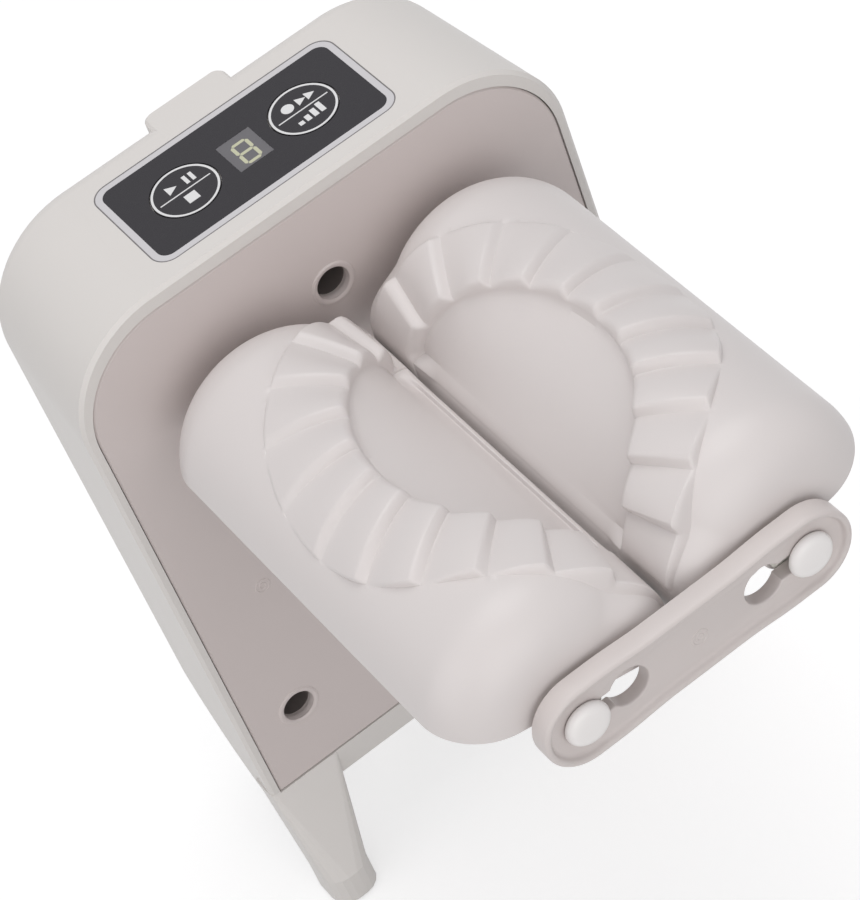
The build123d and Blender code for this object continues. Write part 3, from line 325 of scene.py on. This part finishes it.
def loaf_profile(a):
    """Radius and depth at a distance along the plain body's profile from its middle."""
    if a <= FLAT:
        return RADIUS, a
    if a <= FLAT + ROUND_ARC:
        t = (a - FLAT) / END_ROUND
        return RADIUS - END_ROUND + END_ROUND * math.cos(t), FLAT + END_ROUND * math.sin(t)
    return RADIUS - END_ROUND - (a - FLAT - ROUND_ARC), HALF_LENGTH


def flange_profile(a):
    """The same along the flange, which is straight for longer and turns a tighter corner."""
    straight = FLANGE_STRAIGHT - FLAT
    corner = (HALF_LENGTH - FLANGE_STRAIGHT + FLANGE_CORNER) / 2 * math.pi / 2
    face = FLANGE_LEFT - FLANGE_CORNER - (RADIUS - END_ROUND)
    if a <= FLAT:
        return FLANGE_LEFT, a
    if a > FLAT + ROUND_ARC:
        return loaf_profile(a)
    run = (a - FLAT) / ROUND_ARC * (straight + corner + face)
    if run <= straight:
        return FLANGE_LEFT, FLAT + run
    if run <= straight + corner:
        t = (run - straight) / corner * math.pi / 2
        return (FLANGE_LEFT - FLANGE_CORNER + FLANGE_CORNER * math.cos(t),
                FLANGE_STRAIGHT + (HALF_LENGTH - FLANGE_STRAIGHT) * math.sin(t))
    return FLANGE_LEFT - FLANGE_CORNER - (run - straight - corner), HALF_LENGTH


PROFILE_A = [S_END * i / PROFILE_STEPS for i in range(PROFILE_STEPS + 1)]
LOAF_DEPTHS = np.array([loaf_profile(a)[1] for a in PROFILE_A])
FLANGE_DEPTHS = np.array([flange_profile(a)[1] for a in PROFILE_A])


def body_profile(s, u):
    """Radius and depth of the body at a signed distance along it, fuller near the nip."""
    a = abs(s)
    full = 1 - smooth(0, FULL_REACH, u)
    lift = 1 - smooth(0, LIFT_REACH, u)
    loaf_radius, loaf_depth = loaf_profile(a)
    flange_radius, flange_depth = flange_profile(a)
    share = max(lift, full * smooth(FLAT, FLAT + CORNER_REACH, a))
    return blend(loaf_radius, flange_radius, share), math.copysign(blend(loaf_depth, flange_depth, full), s)


def along(y, u):
    """The signed distance along the body whose depth from the middle is y."""
    depths = blend(LOAF_DEPTHS, FLANGE_DEPTHS, 1 - smooth(0, FULL_REACH, u))
    return math.copysign(float(np.interp(abs(y), depths, PROFILE_A)), y)


def pocket_edge(phi):
    """How far the pocket reaches from the middle of its straight side, nearer towards the rear."""
    return POCKET_REACH - POCKET_NEARER * max(0.0, math.sin(POCKET_SKEW * phi))


def band_reach(phi):
    """How far the pleated band reaches, further at the side and towards the front."""
    side = max(0.0, math.cos(SIDE_SPREAD * (phi - math.pi / 2))) ** SIDE_POWER
    return BAND_REACH + BAND_FRONT * smooth(*BAND_TURN, phi) + BAND_SIDE * side


def pleat_count(phi):
    """How many pleats lie between the nip's rear end and this direction."""
    t = phi
    for _ in range(SHIFT_ROUNDS):
        t = phi - math.radians(PLEAT_SHIFT) * math.sin(t)
    return t / math.pi * PLEATS


def saw(t, left):
    """One pleat's height, 0 to 1: a gentle rise to a rounded crest, then a steep fall to a crisp valley."""
    stays_high = t > PLEATS - 1 + PLEAT_CREST if left else t < PLEAT_CREST
    if stays_high:
        return 1.0
    t = t % 1.0
    if t < PLEAT_CREST:
        return math.sin(t / PLEAT_CREST * math.pi / 2) ** CREST_POWER
    return 1.0 - ((t - PLEAT_CREST) / (1 - PLEAT_CREST)) ** VALLEY_POWER


def pleat_radius(phi, share, left):
    """The band's radius from the pocket's edge (share 0) to its outer edge (share 1)."""
    t = min(PLEATS - TINY, pleat_count(phi))
    front = smooth(*CREST_TURN, phi)
    nip = math.cos(phi) ** 2
    outer = CREST_OUTER + CREST_RAISED * max(front, nip) + CREST_AT_NIP * nip ** NIP_POWER
    crest = blend(CREST_INNER, outer, share ** CREST_SLOPE)
    return blend(VALLEY_INNER - VALLEY_DROP * share, crest, saw(t, left))


def pocket_depth(u, v, edge):
    """How far the floor lies below the body: a nearly flat floor across the pocket, rising to its ends."""
    tilt = (U_NIP + u) / RADIUS - math.radians(FLOOR_ANGLE)
    middle = RADIUS - FLOOR_HEIGHT / math.cos(tilt) - FLOOR_CROWN * math.sin(math.pi * u / FLOOR_WIDTH)
    rim = RADIUS - FLOOR_EDGE
    if middle <= rim:
        return middle
    across = max(TINY, 1 - min(1.0, u / edge) ** 2)
    share = max(0.0, 1 - (math.hypot(u, v) / edge) ** 2) / across
    return blend(rim, middle, share ** BOWL_POWER)


def skin_point(u, v, radius):
    """A point of the left roller: toward the nip, along it and up from its axis."""
    angle = (U_NIP + u) / RADIUS
    return radius * math.cos(angle), POCKET_Y + v, radius * math.sin(angle)


def between(p, q, t):
    """A point on the line from p to q."""
    return tuple(blend(a, b, t) for a, b in zip(p, q))


def shoulder_section():
    """The right roller's section across the straight side, with as many points as the left one's lip."""
    start, pull, end = SHOULDER_CURVE
    shares = [k / (len(LIP_SECTION) - 1) for k in range(len(LIP_SECTION))]
    return [between(between(start, pull, t), between(pull, end, t), t) for t in shares]


SHOULDER_SECTION = shoulder_section()


def edge_radius(u_edge, left):
    """The radius at the pocket's curved edge, which runs into the flange at the nip."""
    flange = FLANGE_LEFT if left else FLANGE_RIGHT
    return blend(flange, FLOOR_EDGE, smooth(*EDGE_BLEND, u_edge))


def lip_point(corner, across, v, left, inner):
    """A point of the straight side's section; near the pocket's ends the section becomes a plain wedge."""
    if inner:
        return skin_point(LIP_WIDTH * across, v, blend(*LIP_INSIDE, across))
    flange = FLANGE_LEFT if left else FLANGE_RIGHT
    wedge = skin_point(LIP_WIDTH * across, v, blend(flange, FLOOR_START, across ** WEDGE_POWER))
    toward, up = corner
    return between((toward, POCKET_Y + v, up), wedge, smooth(*LIP_FADE, abs(v)))


def pocket_points(phi, left, inner):
    """One column from the straight side over the lip and the floor to the pocket's curved edge."""
    edge = pocket_edge(phi)
    u_edge, v = edge * math.sin(phi), edge * math.cos(phi)
    drop = WALL if inner else 0.0
    start = FLANGE_LEFT if left else blend(SHOULDER, FLANGE_RIGHT, smooth(*NIP_FADE, abs(v)))
    section = LIP_SECTION if left else SHOULDER_SECTION
    points = [lip_point(corner, k / (len(section) - 1), v, left, inner) for k, corner in enumerate(section)]
    for step in FLOOR_STEPS:
        u = blend(LIP_WIDTH, u_edge, step)
        points.append(skin_point(u, v, RADIUS - pocket_depth(u, v, edge) - drop))
    opened = smooth(*OPEN_BLEND, u_edge)
    for k, point in enumerate(points):
        share = k / (len(points) - 1)
        closed = skin_point(u_edge * share, v, blend(start, edge_radius(u_edge, left), share) - drop)
        points[k] = between(closed, point, opened)
    return points


def pleat_points(phi, left, inner):
    """One column from the pocket's curved edge over the pleats to their rim."""
    edge = pocket_edge(phi)
    width = band_reach(phi) - edge
    flange = FLANGE_LEFT if left else FLANGE_RIGHT
    low = edge_radius(edge * math.sin(phi), left)
    even = width - ROUND_WIDTH - RIM_WIDTH
    steps = [*ROUND_STEPS, *(ROUND_WIDTH + even * k / EVEN_STEPS for k in range(1, EVEN_STEPS + 1))]
    steps += [width - step for step in RIM_STEPS]
    points = []
    for d in steps:
        u, v = (edge + d) * math.sin(phi), (edge + d) * math.cos(phi)
        body = body_profile(along(v + S_POCKET, u), u)[0]
        if inner:
            dip = HOLLOW_DIP * (1 - smooth(0, HOLLOW_REACH, d))
            points.append(skin_point(u, v, min(RADIUS, body) - WALL - dip))
            continue
        radius = pleat_radius(phi, d / width, left)
        radius += (flange - radius) * (1 - smooth(*NIP_BLEND, u)) * smooth(0, 1, flange - radius)
        radius = blend(low, radius, quarter_round(min(1.0, d / ROUND_WIDTH)))
        if width - d < RIM_ROUND and radius > body:
            radius = blend(body, radius, quarter_round((width - d) / RIM_ROUND))
        points.append(skin_point(u, v, radius))
    return points


def body_reach(phi):
    """How far the body goes on in this direction, to the open side or to an end's pole."""
    across, lengthwise = math.sin(phi), math.cos(phi)
    limits = []
    if across > TINY:
        limits.append((U_HIGH - U_NIP) / across)
    if abs(lengthwise) > TINY:
        limits.append((math.copysign(S_END, lengthwise) - S_POCKET) / lengthwise)
    return min(limits)


def body_points(phi, inner):
    """One column from the pleats' rim over the plain body, and whether it ends at the open side."""
    drop = WALL if inner else 0.0
    first, last = band_reach(phi) + RIM_GAP, body_reach(phi)
    u_first, u_last = first * math.sin(phi), last * math.sin(phi)
    s_first, s_last = along(first * math.cos(phi) + S_POCKET, u_first), last * math.cos(phi) + S_POCKET
    points = []
    for k in range(BODY_STEPS + 1):
        u, s = blend(u_first, u_last, k / BODY_STEPS), blend(s_first, s_last, k / BODY_STEPS)
        radius, depth = body_profile(s, u)
        end_face = smooth(FLAT, FLAT + ROUND_ARC, abs(s))
        depth -= math.copysign(drop * end_face, depth)
        points.append(skin_point(u, depth - S_POCKET, radius - drop * (1 - end_face)))
    return points, abs(u_last + U_NIP - U_HIGH) < TINY


def nip_strip(chord, left, inner):
    """Rows of points from the straight side down round the nip to the open side's edge."""
    rows = []
    for t in NIP_STEPS:
        row = []
        for x, y, z in chord:
            v = y - POCKET_Y
            radius = math.hypot(x, z)
            u = blend(math.atan2(z, x) * RADIUS - U_NIP, U_LOW - U_NIP, t)
            in_pocket = 1 - smooth(*NIP_FADE, abs(v))
            if left or inner:
                radius -= (NIP_DROP_LEFT if left else NIP_DROP_RIGHT) * smooth(0, 1, t) * in_pocket
            else:
                bulge = float(np.interp(-u, *zip(*BULGE)))
                radius = blend(radius, bulge, min(1.0, t / BULGE_BLEND) * in_pocket)
            row.append(skin_point(u, v, radius))
        rows.append(row)
    return rows


def add_rows(faces, rows):
    """Joins neighbouring rows of point numbers."""
    for a, b in zip(rows, rows[1:]):
        for k in range(len(a) - 1):
            faces.append([a[k], a[k + 1], b[k + 1], b[k]])


def add_skin(verts, faces, left, inner):
    """The outer or the inner skin; gives its borders in an order that both skins share."""
    steps = PLEATS * PLEAT_SAMPLES
    columns, at_rim = [], []
    for i in range(steps + 1):
        phi = math.pi * i / steps
        body, ends_at_rim = body_points(phi, inner)
        points = pocket_points(phi, left, inner) + pleat_points(phi, left, inner) + body
        columns.append(list(range(len(verts), len(verts) + len(points))))
        verts.extend(points)
        if ends_at_rim:
            at_rim.append(i)
    add_rows(faces, columns)
    beyond_pocket = len(LIP_SECTION) + len(FLOOR_STEPS)
    chord = columns[-1][:beyond_pocket - 1:-1]
    chord += [column[0] for column in columns[::-1]]
    chord += columns[0][beyond_pocket:]
    lines = [chord]
    for row in nip_strip([verts[i] for i in chord], left, inner):
        lines.append(list(range(len(verts), len(verts) + len(row))))
        verts.extend(row)
    add_rows(faces, lines)
    ends = [column[-1] for column in columns]
    rear_pole = [line[-1] for line in lines[:0:-1]] + ends[:at_rim[0] + 1]
    front_pole = [line[0] for line in lines[:0:-1]] + ends[:at_rim[-1] - 1:-1]
    return lines[-1], ends[at_rim[0]:at_rim[-1] + 1], rear_pole, front_pole


def add_hub(verts, faces):
    """The hub's hollow cylinder with small end chamfers."""
    rear, front = REAR - HUB_INSET, FRONT + HUB_INSET
    face = HUB_RADIUS - HUB_CHAMFER
    section = ((HUB_BORE, front), (face, front), (HUB_RADIUS, front + HUB_CHAMFER),
               (HUB_RADIUS, rear - HUB_CHAMFER), (face, rear), (HUB_BORE, rear))
    loops = [[(x, y, z) for x, z in circle(0, 0, radius)] for radius, y in section]
    add_walls(verts, faces, loops, closed=True)


def add_rib(verts, faces, y, count=40):
    """A web across the hollow that carries the hub, a little into the inner skin."""
    outline = []
    for k in range(count + 1):
        angle = math.radians(180 * k / count - OPEN_TILT)
        u, v = angle * RADIUS - U_NIP, y - POCKET_Y
        edge = pocket_edge(math.atan2(max(u, 0.0), v))
        in_pocket = u > 0 and math.hypot(u, v) < edge
        depth = max(0.0, pocket_depth(u, v, edge)) if in_pocket else 0.0
        radius = RADIUS - WALL - depth + RIB_OVERLAP
        outline.append((radius * math.cos(angle), radius * math.sin(angle)))
    outline.append((0.0, 0.0))
    sides = [[(x, y + dy, z) for x, z in outline] for dy in (-RIB_HALF, RIB_HALF)]
    for start in add_walls(verts, faces, sides):
        for k in range(count):
            faces.append([start + k, start + k + 1, start + count + 1])


def roller(side):
    """One moulded roller; the right one is drawn as a mirror image of the left one."""
    left = side < 0
    verts, faces = [], []
    outer, inner = add_skin(verts, faces, left, False), add_skin(verts, faces, left, True)
    for rows in zip(outer, inner):
        add_rows(faces, rows)
    add_hub(verts, faces)
    for y in RIB_Y:
        add_rib(verts, faces, y)
    name, body = ("left_roller", "left_mould") if left else ("right_roller", "right_mould")
    points = [(-side * (x - AXIS_X), y, AXIS_Z + z) for x, y, z in verts]
    piece = mesh_piece(name + "_skin", points, faces, "roller", body, SHARP_ROLLER)
    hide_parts(name)


roller(-1)
roller(1)

# Print: the keys' rings and marks and the display's digit; and a dark line round the silver border, which is
# painted shadow at its edge
PRINT_Z, PRINT_HEIGHT = TOP - 0.05, 0.03        # the film's top, which lies a little below the housing's
KEY_X, KEY_Y = 17.6, 68.0
RING_OUTER, RING_INNER, RING_STEPS = 8.75, 8.15, 96
DIVIDER = (14.6, 0.38)
MARKS_UP, MARKS_DOWN = 3.1, 3.2                 # the two rows of marks, from the key's middle
PLAY_X, PLAY_RADIUS = -2.6, 1.9
PAUSE_X, PAUSE_BAR = (2.0, 3.8), (1.0, 3.2)
STOP_SIDE = 3.2
RECORD_X, FORWARD_X, FORWARD_RADIUS = -2.7, (0.9, 3.6), 1.7
LEVELS, LEVEL_X, LEVEL_PITCH, LEVEL_FOOT = 4, -3.0, 2.1, -4.7
LEVEL_WIDTH, LEVEL_HEIGHT, LEVEL_RISE = 1.4, 1.4, 0.8
BORDER_HALF_X, BORDER_FRONT, BORDER_REAR, BORDER_CORNER = 35.75, 50.25, 86.05, 4.95
# The width of the dark line round the border, painted shadow at its edge
SHADOW_LINE_WIDTH = 0.3
DIGIT_Y, DIGIT_WIDTH, DIGIT_HEIGHT, DIGIT_STROKE, DIGIT_GAP = 67.1, 4.1, 8.0, 0.95, 0.12
# The digit's bars: their middles in digit widths and heights, and whether they lie level
SEGMENTS = ((0, 0.5, True), (0, 0, True), (0, -0.5, True),
            (-0.5, 0.25, False), (0.5, 0.25, False), (-0.5, -0.25, False), (0.5, -0.25, False))


def at_height(outline, z):
    """A flat outline's points at one height."""
    return [(x, y, z) for x, y in outline]


def print_shapes(name, outlines, finish, body):
    """Flat printed shapes, raised a little from the surface."""
    verts, faces = [], []
    for outline in outlines:
        levels = [at_height(outline, PRINT_Z + PRINT_HEIGHT), at_height(outline, PRINT_Z)]
        for start in add_walls(verts, faces, levels):
            faces.append([start + k for k in range(len(outline))])
    mesh_piece(name, verts, faces, finish, body, SHARP_PRINT)


def print_band(name, outer, inner, finish, body):
    """A flat band between two outlines with as many points; the key rings are print, the border's line is
    painted shadow.
    """
    verts, faces = [], []
    low, high = PRINT_Z, PRINT_Z + PRINT_HEIGHT
    loops = [at_height(inner, low), at_height(inner, high), at_height(outer, high), at_height(outer, low)]
    add_walls(verts, faces, loops, closed=True)
    mesh_piece(name, verts, faces, finish, body, SHARP_PRINT)


def rectangle(cx, cy, width, height):
    """A rectangle's corners round its middle."""
    left, right, low, high = cx - width / 2, cx + width / 2, cy - height / 2, cy + height / 2
    return [(left, low), (right, low), (right, high), (left, high)]


def border_outline(inset, count=10):
    """The silver border's outline with round corners, moved inwards."""
    radius = BORDER_CORNER - inset
    x = BORDER_HALF_X - inset - radius
    low, high = BORDER_FRONT + inset + radius, BORDER_REAR - inset - radius
    points = []
    for cx, cy, first in ((x, high, 0), (-x, high, 90), (-x, low, 180), (x, low, 270)):
        for k in range(count + 1):
            t = math.radians(first + 90 * k / count)
            points.append((cx + radius * math.cos(t), cy + radius * math.sin(t)))
    return points


def left_key_marks(x):
    """Generic marks: play and pause over stop."""
    upper, lower = KEY_Y + MARKS_UP, KEY_Y - MARKS_DOWN
    bars = [rectangle(x + dx, upper, *PAUSE_BAR) for dx in PAUSE_X]
    return [circle(x + PLAY_X, upper, PLAY_RADIUS, 3), *bars, rectangle(x, lower, STOP_SIDE, STOP_SIDE)]


def right_key_marks(x):
    """Generic marks: record and forward over a row of rising levels."""
    upper = KEY_Y + MARKS_UP
    marks = [circle(x + RECORD_X, upper, FORWARD_RADIUS, 20)]
    marks += [circle(x + dx, upper, FORWARD_RADIUS, 3) for dx in FORWARD_X]
    for k in range(LEVELS):
        height = LEVEL_HEIGHT + LEVEL_RISE * k
        middle = KEY_Y + LEVEL_FOOT + height / 2
        marks.append(rectangle(x + LEVEL_X + LEVEL_PITCH * k, middle, LEVEL_WIDTH, height))
    return marks


def digit():
    """The seven bars of one digit, all lit."""
    bars = []
    half = DIGIT_STROKE / 2
    for across, up, level in SEGMENTS:
        reach = (DIGIT_WIDTH if level else DIGIT_HEIGHT / 2) / 2 - DIGIT_GAP
        bar = [(-reach, 0), (half - reach, -half), (reach - half, -half),
               (reach, 0), (reach - half, half), (half - reach, half)]
        if not level:
            bar = [(-y, x) for x, y in bar]
        bars.append([(across * DIGIT_WIDTH + x, DIGIT_Y + up * DIGIT_HEIGHT + y) for x, y in bar])
    return bars


for side, tag, key_marks in ((-1, "left", left_key_marks), (1, "right", right_key_marks)):
    x, body = side * KEY_X, tag + "_button"
    rings = [circle(x, KEY_Y, radius, RING_STEPS) for radius in (RING_OUTER, RING_INNER)]
    print_band(tag + "_key_ring", *rings, "ink", body)
    print_shapes(tag + "_key_icons", [rectangle(x, KEY_Y, *DIVIDER), *key_marks(x)], "ink", body)
print_shapes("display_segments", digit(), "segment", "machine")
# A thin dark band of painted shadow round the silver border's outer edge
print_band("border_shadow_line", border_outline(0), border_outline(SHADOW_LINE_WIDTH), "line", "machine")

# Turned details of the front: the screw holes' rims, dark sleeves of painted shade deep in the holes, the
# moulding's ejector marks and the pins
TRAY_Y = -96.2                    # the floor of the link's tray
PIN_REAR_Y = -96.5                # the rear face of the pins' heads
HOLES = (("left", -54.5, 63.9), ("right", 54.5, 63.9), ("upper", 0.0, 183.0))
MARKS = (("panel", -48.9, PANEL_Y, 110.1), ("link", 0.5, TRAY_Y, 168.6))
# Their sections (radius, height towards the front)
HOLE_RIM = ((4.45, -1.6), (4.5, -0.6), (4.7, 0.05), (5.1, 0.3), (5.6, 0.42), (5.95, 0.3), (6.2, 0.0),
            (4.62, -0.02), (4.58, -1.6))
# A dark sleeve deep in each screw hole, which is painted shade
HOLE_SHADE_SLEEVE = ((4.4, -2.6), (4.55, -2.6), (4.55, -10.4), (4.4, -10.4))
MARK_OUTER = ((1.8, 0.0), (1.95, 0.16), (2.15, 0.16), (2.3, 0.0), (2.05, -0.02))
MARK_INNER = ((0.65, 0.0), (0.8, 0.14), (0.95, 0.14), (1.1, 0.0), (0.88, -0.02))
PIN = ((0.0, 2.7), (1.6, 2.69), (3.2, 2.62), (4.3, 2.42), (5.1, 2.05), (5.55, 1.5), (5.8, 0.9), (5.75, 0.3),
       (5.5, 0.0), (3.0, 0.0), (3.0, -28.6), (2.5, -29.1), (0.0, -29.1))


def turned(name, x, y, z, section, finish, body):
    """A section turned round an axis from front to rear; one that starts and ends on the axis is solid."""
    verts, faces = [], []
    loops = [[(px, y - height, pz) for px, pz in circle(x, z, radius)] for radius, height in section]
    add_walls(verts, faces, loops, closed=section[0][0] > 0)
    return mesh_piece(name, verts, faces, finish, body, SHARP_TURNED)


for tag, x, z in HOLES:
    turned(tag + "_hole_rim", x, PANEL_Y, z, HOLE_RIM, "panel", "machine")
    # the dark sleeve in each hole is painted shade
    turned(tag + "_hole_shade_sleeve", x, PANEL_Y, z, HOLE_SHADE_SLEEVE, "shade", "machine")
for tag, x, y, z in MARKS:
    turned(tag + "_mark_outer", x, y, z, MARK_OUTER, tag, "machine")
    turned(tag + "_mark_inner", x, y, z, MARK_INNER, tag, "machine")
for side, tag in ((-1, "left"), (1, "right")):
    pin = turned(tag + "_pivot_pin_domed", side * AXIS_X, PIN_REAR_Y, AXIS_Z, PIN, "pin", tag + "_mould")
    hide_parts(tag + "_pivot_pin")

# The front link: a bar with round ends, a tray in its front and two keyholes
LINK_END, LINK_WAIST = 11.4, 10.6               # half its height at the ends and in the middle
LINK_WAIST_X, LINK_NECK_X = 10.0, 25.0          # where it starts to widen, and where it is full
# From the rear face over the rounded rim into the tray (inset, y)
LINK_ROWS = ((0.4, -92.2), (0.1, -92.35), (0.0, -92.7), (0.0, -97.1), (0.1, -97.5), (0.35, -97.82),
             (0.7, -98.0), (1.05, -97.98), (1.4, -97.8), (1.65, -97.45), (1.8, -97.0), (2.0, -96.6),
             (2.35, -96.32), (2.8, TRAY_Y))
# From the rear face through a keyhole to the tray's floor (how much wider, y)
KEYHOLE_ROWS = ((0.25, -92.2), (0.0, -92.6), (0.0, -95.6), (0.05, -95.9), (0.2, -96.1), (0.45, TRAY_Y))
KEYHOLE_X, KEYHOLE_RADIUS = 18.9, 5.2
PIN_HOLE_RADIUS, SLOT_HALF = 3.04, 2.75


def link_loop(inset, y, steps=40, end_steps=28):
    """The link's outline, moved inwards."""
    points = []
    for side in (1, -1):
        for k in range(end_steps):
            t = math.radians(180 * k / end_steps - 90)
            radius = LINK_END - inset
            points.append((side * (AXIS_X + radius * math.cos(t)), y, AXIS_Z + side * radius * math.sin(t)))
        for k in range(steps):
            x = AXIS_X * (1 - 2 * k / steps)
            half = blend(LINK_WAIST, LINK_END, smooth(LINK_WAIST_X, LINK_NECK_X, abs(x))) - inset
            points.append((side * x, y, AXIS_Z + side * half))
    return points


def keyhole_loop(side, wider, y, steps=40):
    """A keyhole's outline: the pin's hole, a slot and the wide hole that the pin's head passes through."""
    half, small, large = SLOT_HALF + wider, PIN_HOLE_RADIUS + wider, KEYHOLE_RADIUS + wider
    small_start, large_start = math.asin(half / small) - math.pi, math.asin(half / large)
    arcs = ((AXIS_X, small, small_start, -small_start),
            (KEYHOLE_X, large, large_start, 2 * math.pi - large_start))
    points = []
    for x, radius, first, last in arcs:
        for k in range(steps + 1):
            t = blend(first, last, k / steps)
            points.append((side * (x + radius * math.cos(t)), y, AXIS_Z + radius * math.sin(t)))
    return points


def add_cap(verts, faces, loops):
    """A flat face across an outline with holes; a loop is a range of points."""
    numbers = [i for loop in loops for i in loop]
    outlines = [[Vector((verts[i][0], verts[i][2], 0)) for i in loop] for loop in loops]
    for triangle in tessellate_polygon(outlines):
        faces.append([numbers[i] for i in triangle])


def link():
    """The link bar, which replaces the CAD's."""
    verts, faces = [], []
    rear, front = [], []
    outer = [link_loop(inset, y) for inset, y in LINK_ROWS]
    holes = [[keyhole_loop(side, wider, y) for wider, y in KEYHOLE_ROWS] for side in (-1, 1)]
    for loops in (outer, *holes):
        starts = add_walls(verts, faces, loops)
        rear.append(range(starts[0], starts[0] + len(loops[0])))
        front.append(range(starts[-1], starts[-1] + len(loops[0])))
    add_cap(verts, faces, front)
    add_cap(verts, faces, rear)
    piece = mesh_piece("front_link_moulding", verts, faces, "link", "machine", SHARP_TURNED)
    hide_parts("front_link")


link()

# Floor, light and camera, in metres
FLOOR_HALF = 6.0
FLOOR_GREY, FLOOR_GLOW = 0.55, 0.58             # what it reflects, and what the camera sees on top of that
SKY_COLOUR, SKY_LIGHT, SKY_SEEN = (0.97, 0.975, 1.0), 0.50, 1.0
LAMP_TARGET = (0, 0, 0.12)
# name, place, size, power, colour
LAMPS = (("key", (0.15, 0.15, 1.4), 1.0, 6.5, (1.0, 0.99, 0.985)),
         ("front", (-0.35, -1.35, 0.55), 1.3, 7.5, (1.0, 0.975, 0.965)),
         ("left", (-1.3, -0.1, 0.5), 1.0, 2.5, (1.0, 0.985, 0.98)))
PHOTO_HEIGHT, FOCAL_PIXELS, SENSOR = 900, 3457.5, 36      # the photograph's height and focal length in pixels
CAMERA_AT = (-0.1852, -0.5385, 0.7526)
CAMERA_RIGHT, CAMERA_DOWN = (0.7897, -0.5520, -0.2676), (-0.5741, -0.5113, -0.6395)


def seen_rays(tree):
    """1 for rays from the camera and for those that mirrors and glass pass on, else 0."""
    path = tree.nodes.new("ShaderNodeLightPath")
    seen = path.outputs["Is Camera Ray"]
    for kind in ("Is Glossy Ray", "Is Transmission Ray"):
        either = tree.nodes.new("ShaderNodeMath")
        either.operation = "MAXIMUM"
        tree.links.new(seen, either.inputs[0])
        tree.links.new(path.outputs[kind], either.inputs[1])
        seen = either.outputs[0]
    return seen


def floor_material():
    """Pale paper that takes shadows; the camera sees it almost white."""
    paper = bpy.data.materials.new("floor_paper")
    paper.use_nodes = True
    tree = paper.node_tree
    tree.nodes.clear()
    diffuse = tree.nodes.new("ShaderNodeBsdfDiffuse")
    diffuse.inputs["Color"].default_value = (FLOOR_GREY, FLOOR_GREY, FLOOR_GREY, 1)
    strength = tree.nodes.new("ShaderNodeMath")
    strength.operation = "MULTIPLY"
    strength.inputs[1].default_value = FLOOR_GLOW
    tree.links.new(seen_rays(tree), strength.inputs[0])
    glow = tree.nodes.new("ShaderNodeEmission")
    tree.links.new(strength.outputs[0], glow.inputs["Strength"])
    both = tree.nodes.new("ShaderNodeAddShader")
    tree.links.new(diffuse.outputs[0], both.inputs[0])
    tree.links.new(glow.outputs[0], both.inputs[1])
    surface = tree.nodes.new("ShaderNodeOutputMaterial")
    tree.links.new(both.outputs[0], surface.inputs["Surface"])
    return paper


def floor():
    """One large square, which isn't part of the object."""
    mesh = bpy.data.meshes.new("floor")
    corners = [(x * FLOOR_HALF, y * FLOOR_HALF, 0) for x, y in ((-1, -1), (1, -1), (1, 1), (-1, 1))]
    mesh.from_pydata(corners, [], [(0, 1, 2, 3)])
    mesh.materials.append(floor_material())
    link_to_scene("floor", mesh)


def sky():
    """A plain pale world, which the camera sees white."""
    world = bpy.data.worlds.new("studio")
    bpy.context.scene.world = world
    world.use_nodes = True
    tree = world.node_tree
    background = tree.nodes["Background"]
    background.inputs["Color"].default_value = (*SKY_COLOUR, 1)
    strength = tree.nodes.new("ShaderNodeMapRange")
    strength.inputs["To Min"].default_value = SKY_LIGHT
    strength.inputs["To Max"].default_value = SKY_SEEN
    tree.links.new(seen_rays(tree), strength.inputs["Value"])
    tree.links.new(strength.outputs["Result"], background.inputs["Strength"])


def lamp(name, at, size, power, colour):
    """A square soft light that looks at the object."""
    data = bpy.data.lights.new(name, "AREA")
    data.energy = power
    data.size = size
    data.color = colour
    light = link_to_scene(name, data)
    light.location = at
    light.rotation_euler = (Vector(LAMP_TARGET) - Vector(at)).to_track_quat("-Z", "Y").to_euler()


def camera():
    """The photograph's camera, found from edges that are straight on the real thing."""
    data = bpy.data.cameras.new("camera")
    data.lens = FOCAL_PIXELS * SENSOR / PHOTO_HEIGHT
    data.sensor_width = SENSOR
    data.clip_start = 0.01
    right = Vector(CAMERA_RIGHT).normalized()
    forward = right.cross(Vector(CAMERA_DOWN).normalized()).normalized()
    down = forward.cross(right).normalized()
    eye = link_to_scene("camera", data)
    axes = Matrix((right, -down, -forward)).transposed()
    eye.matrix_world = Matrix.Translation(CAMERA_AT) @ axes.to_4x4()
    bpy.context.scene.camera = eye


floor()
sky()
for values in LAMPS:
    lamp(*values)
camera()
bpy.context.scene.view_settings.view_transform = "Standard"
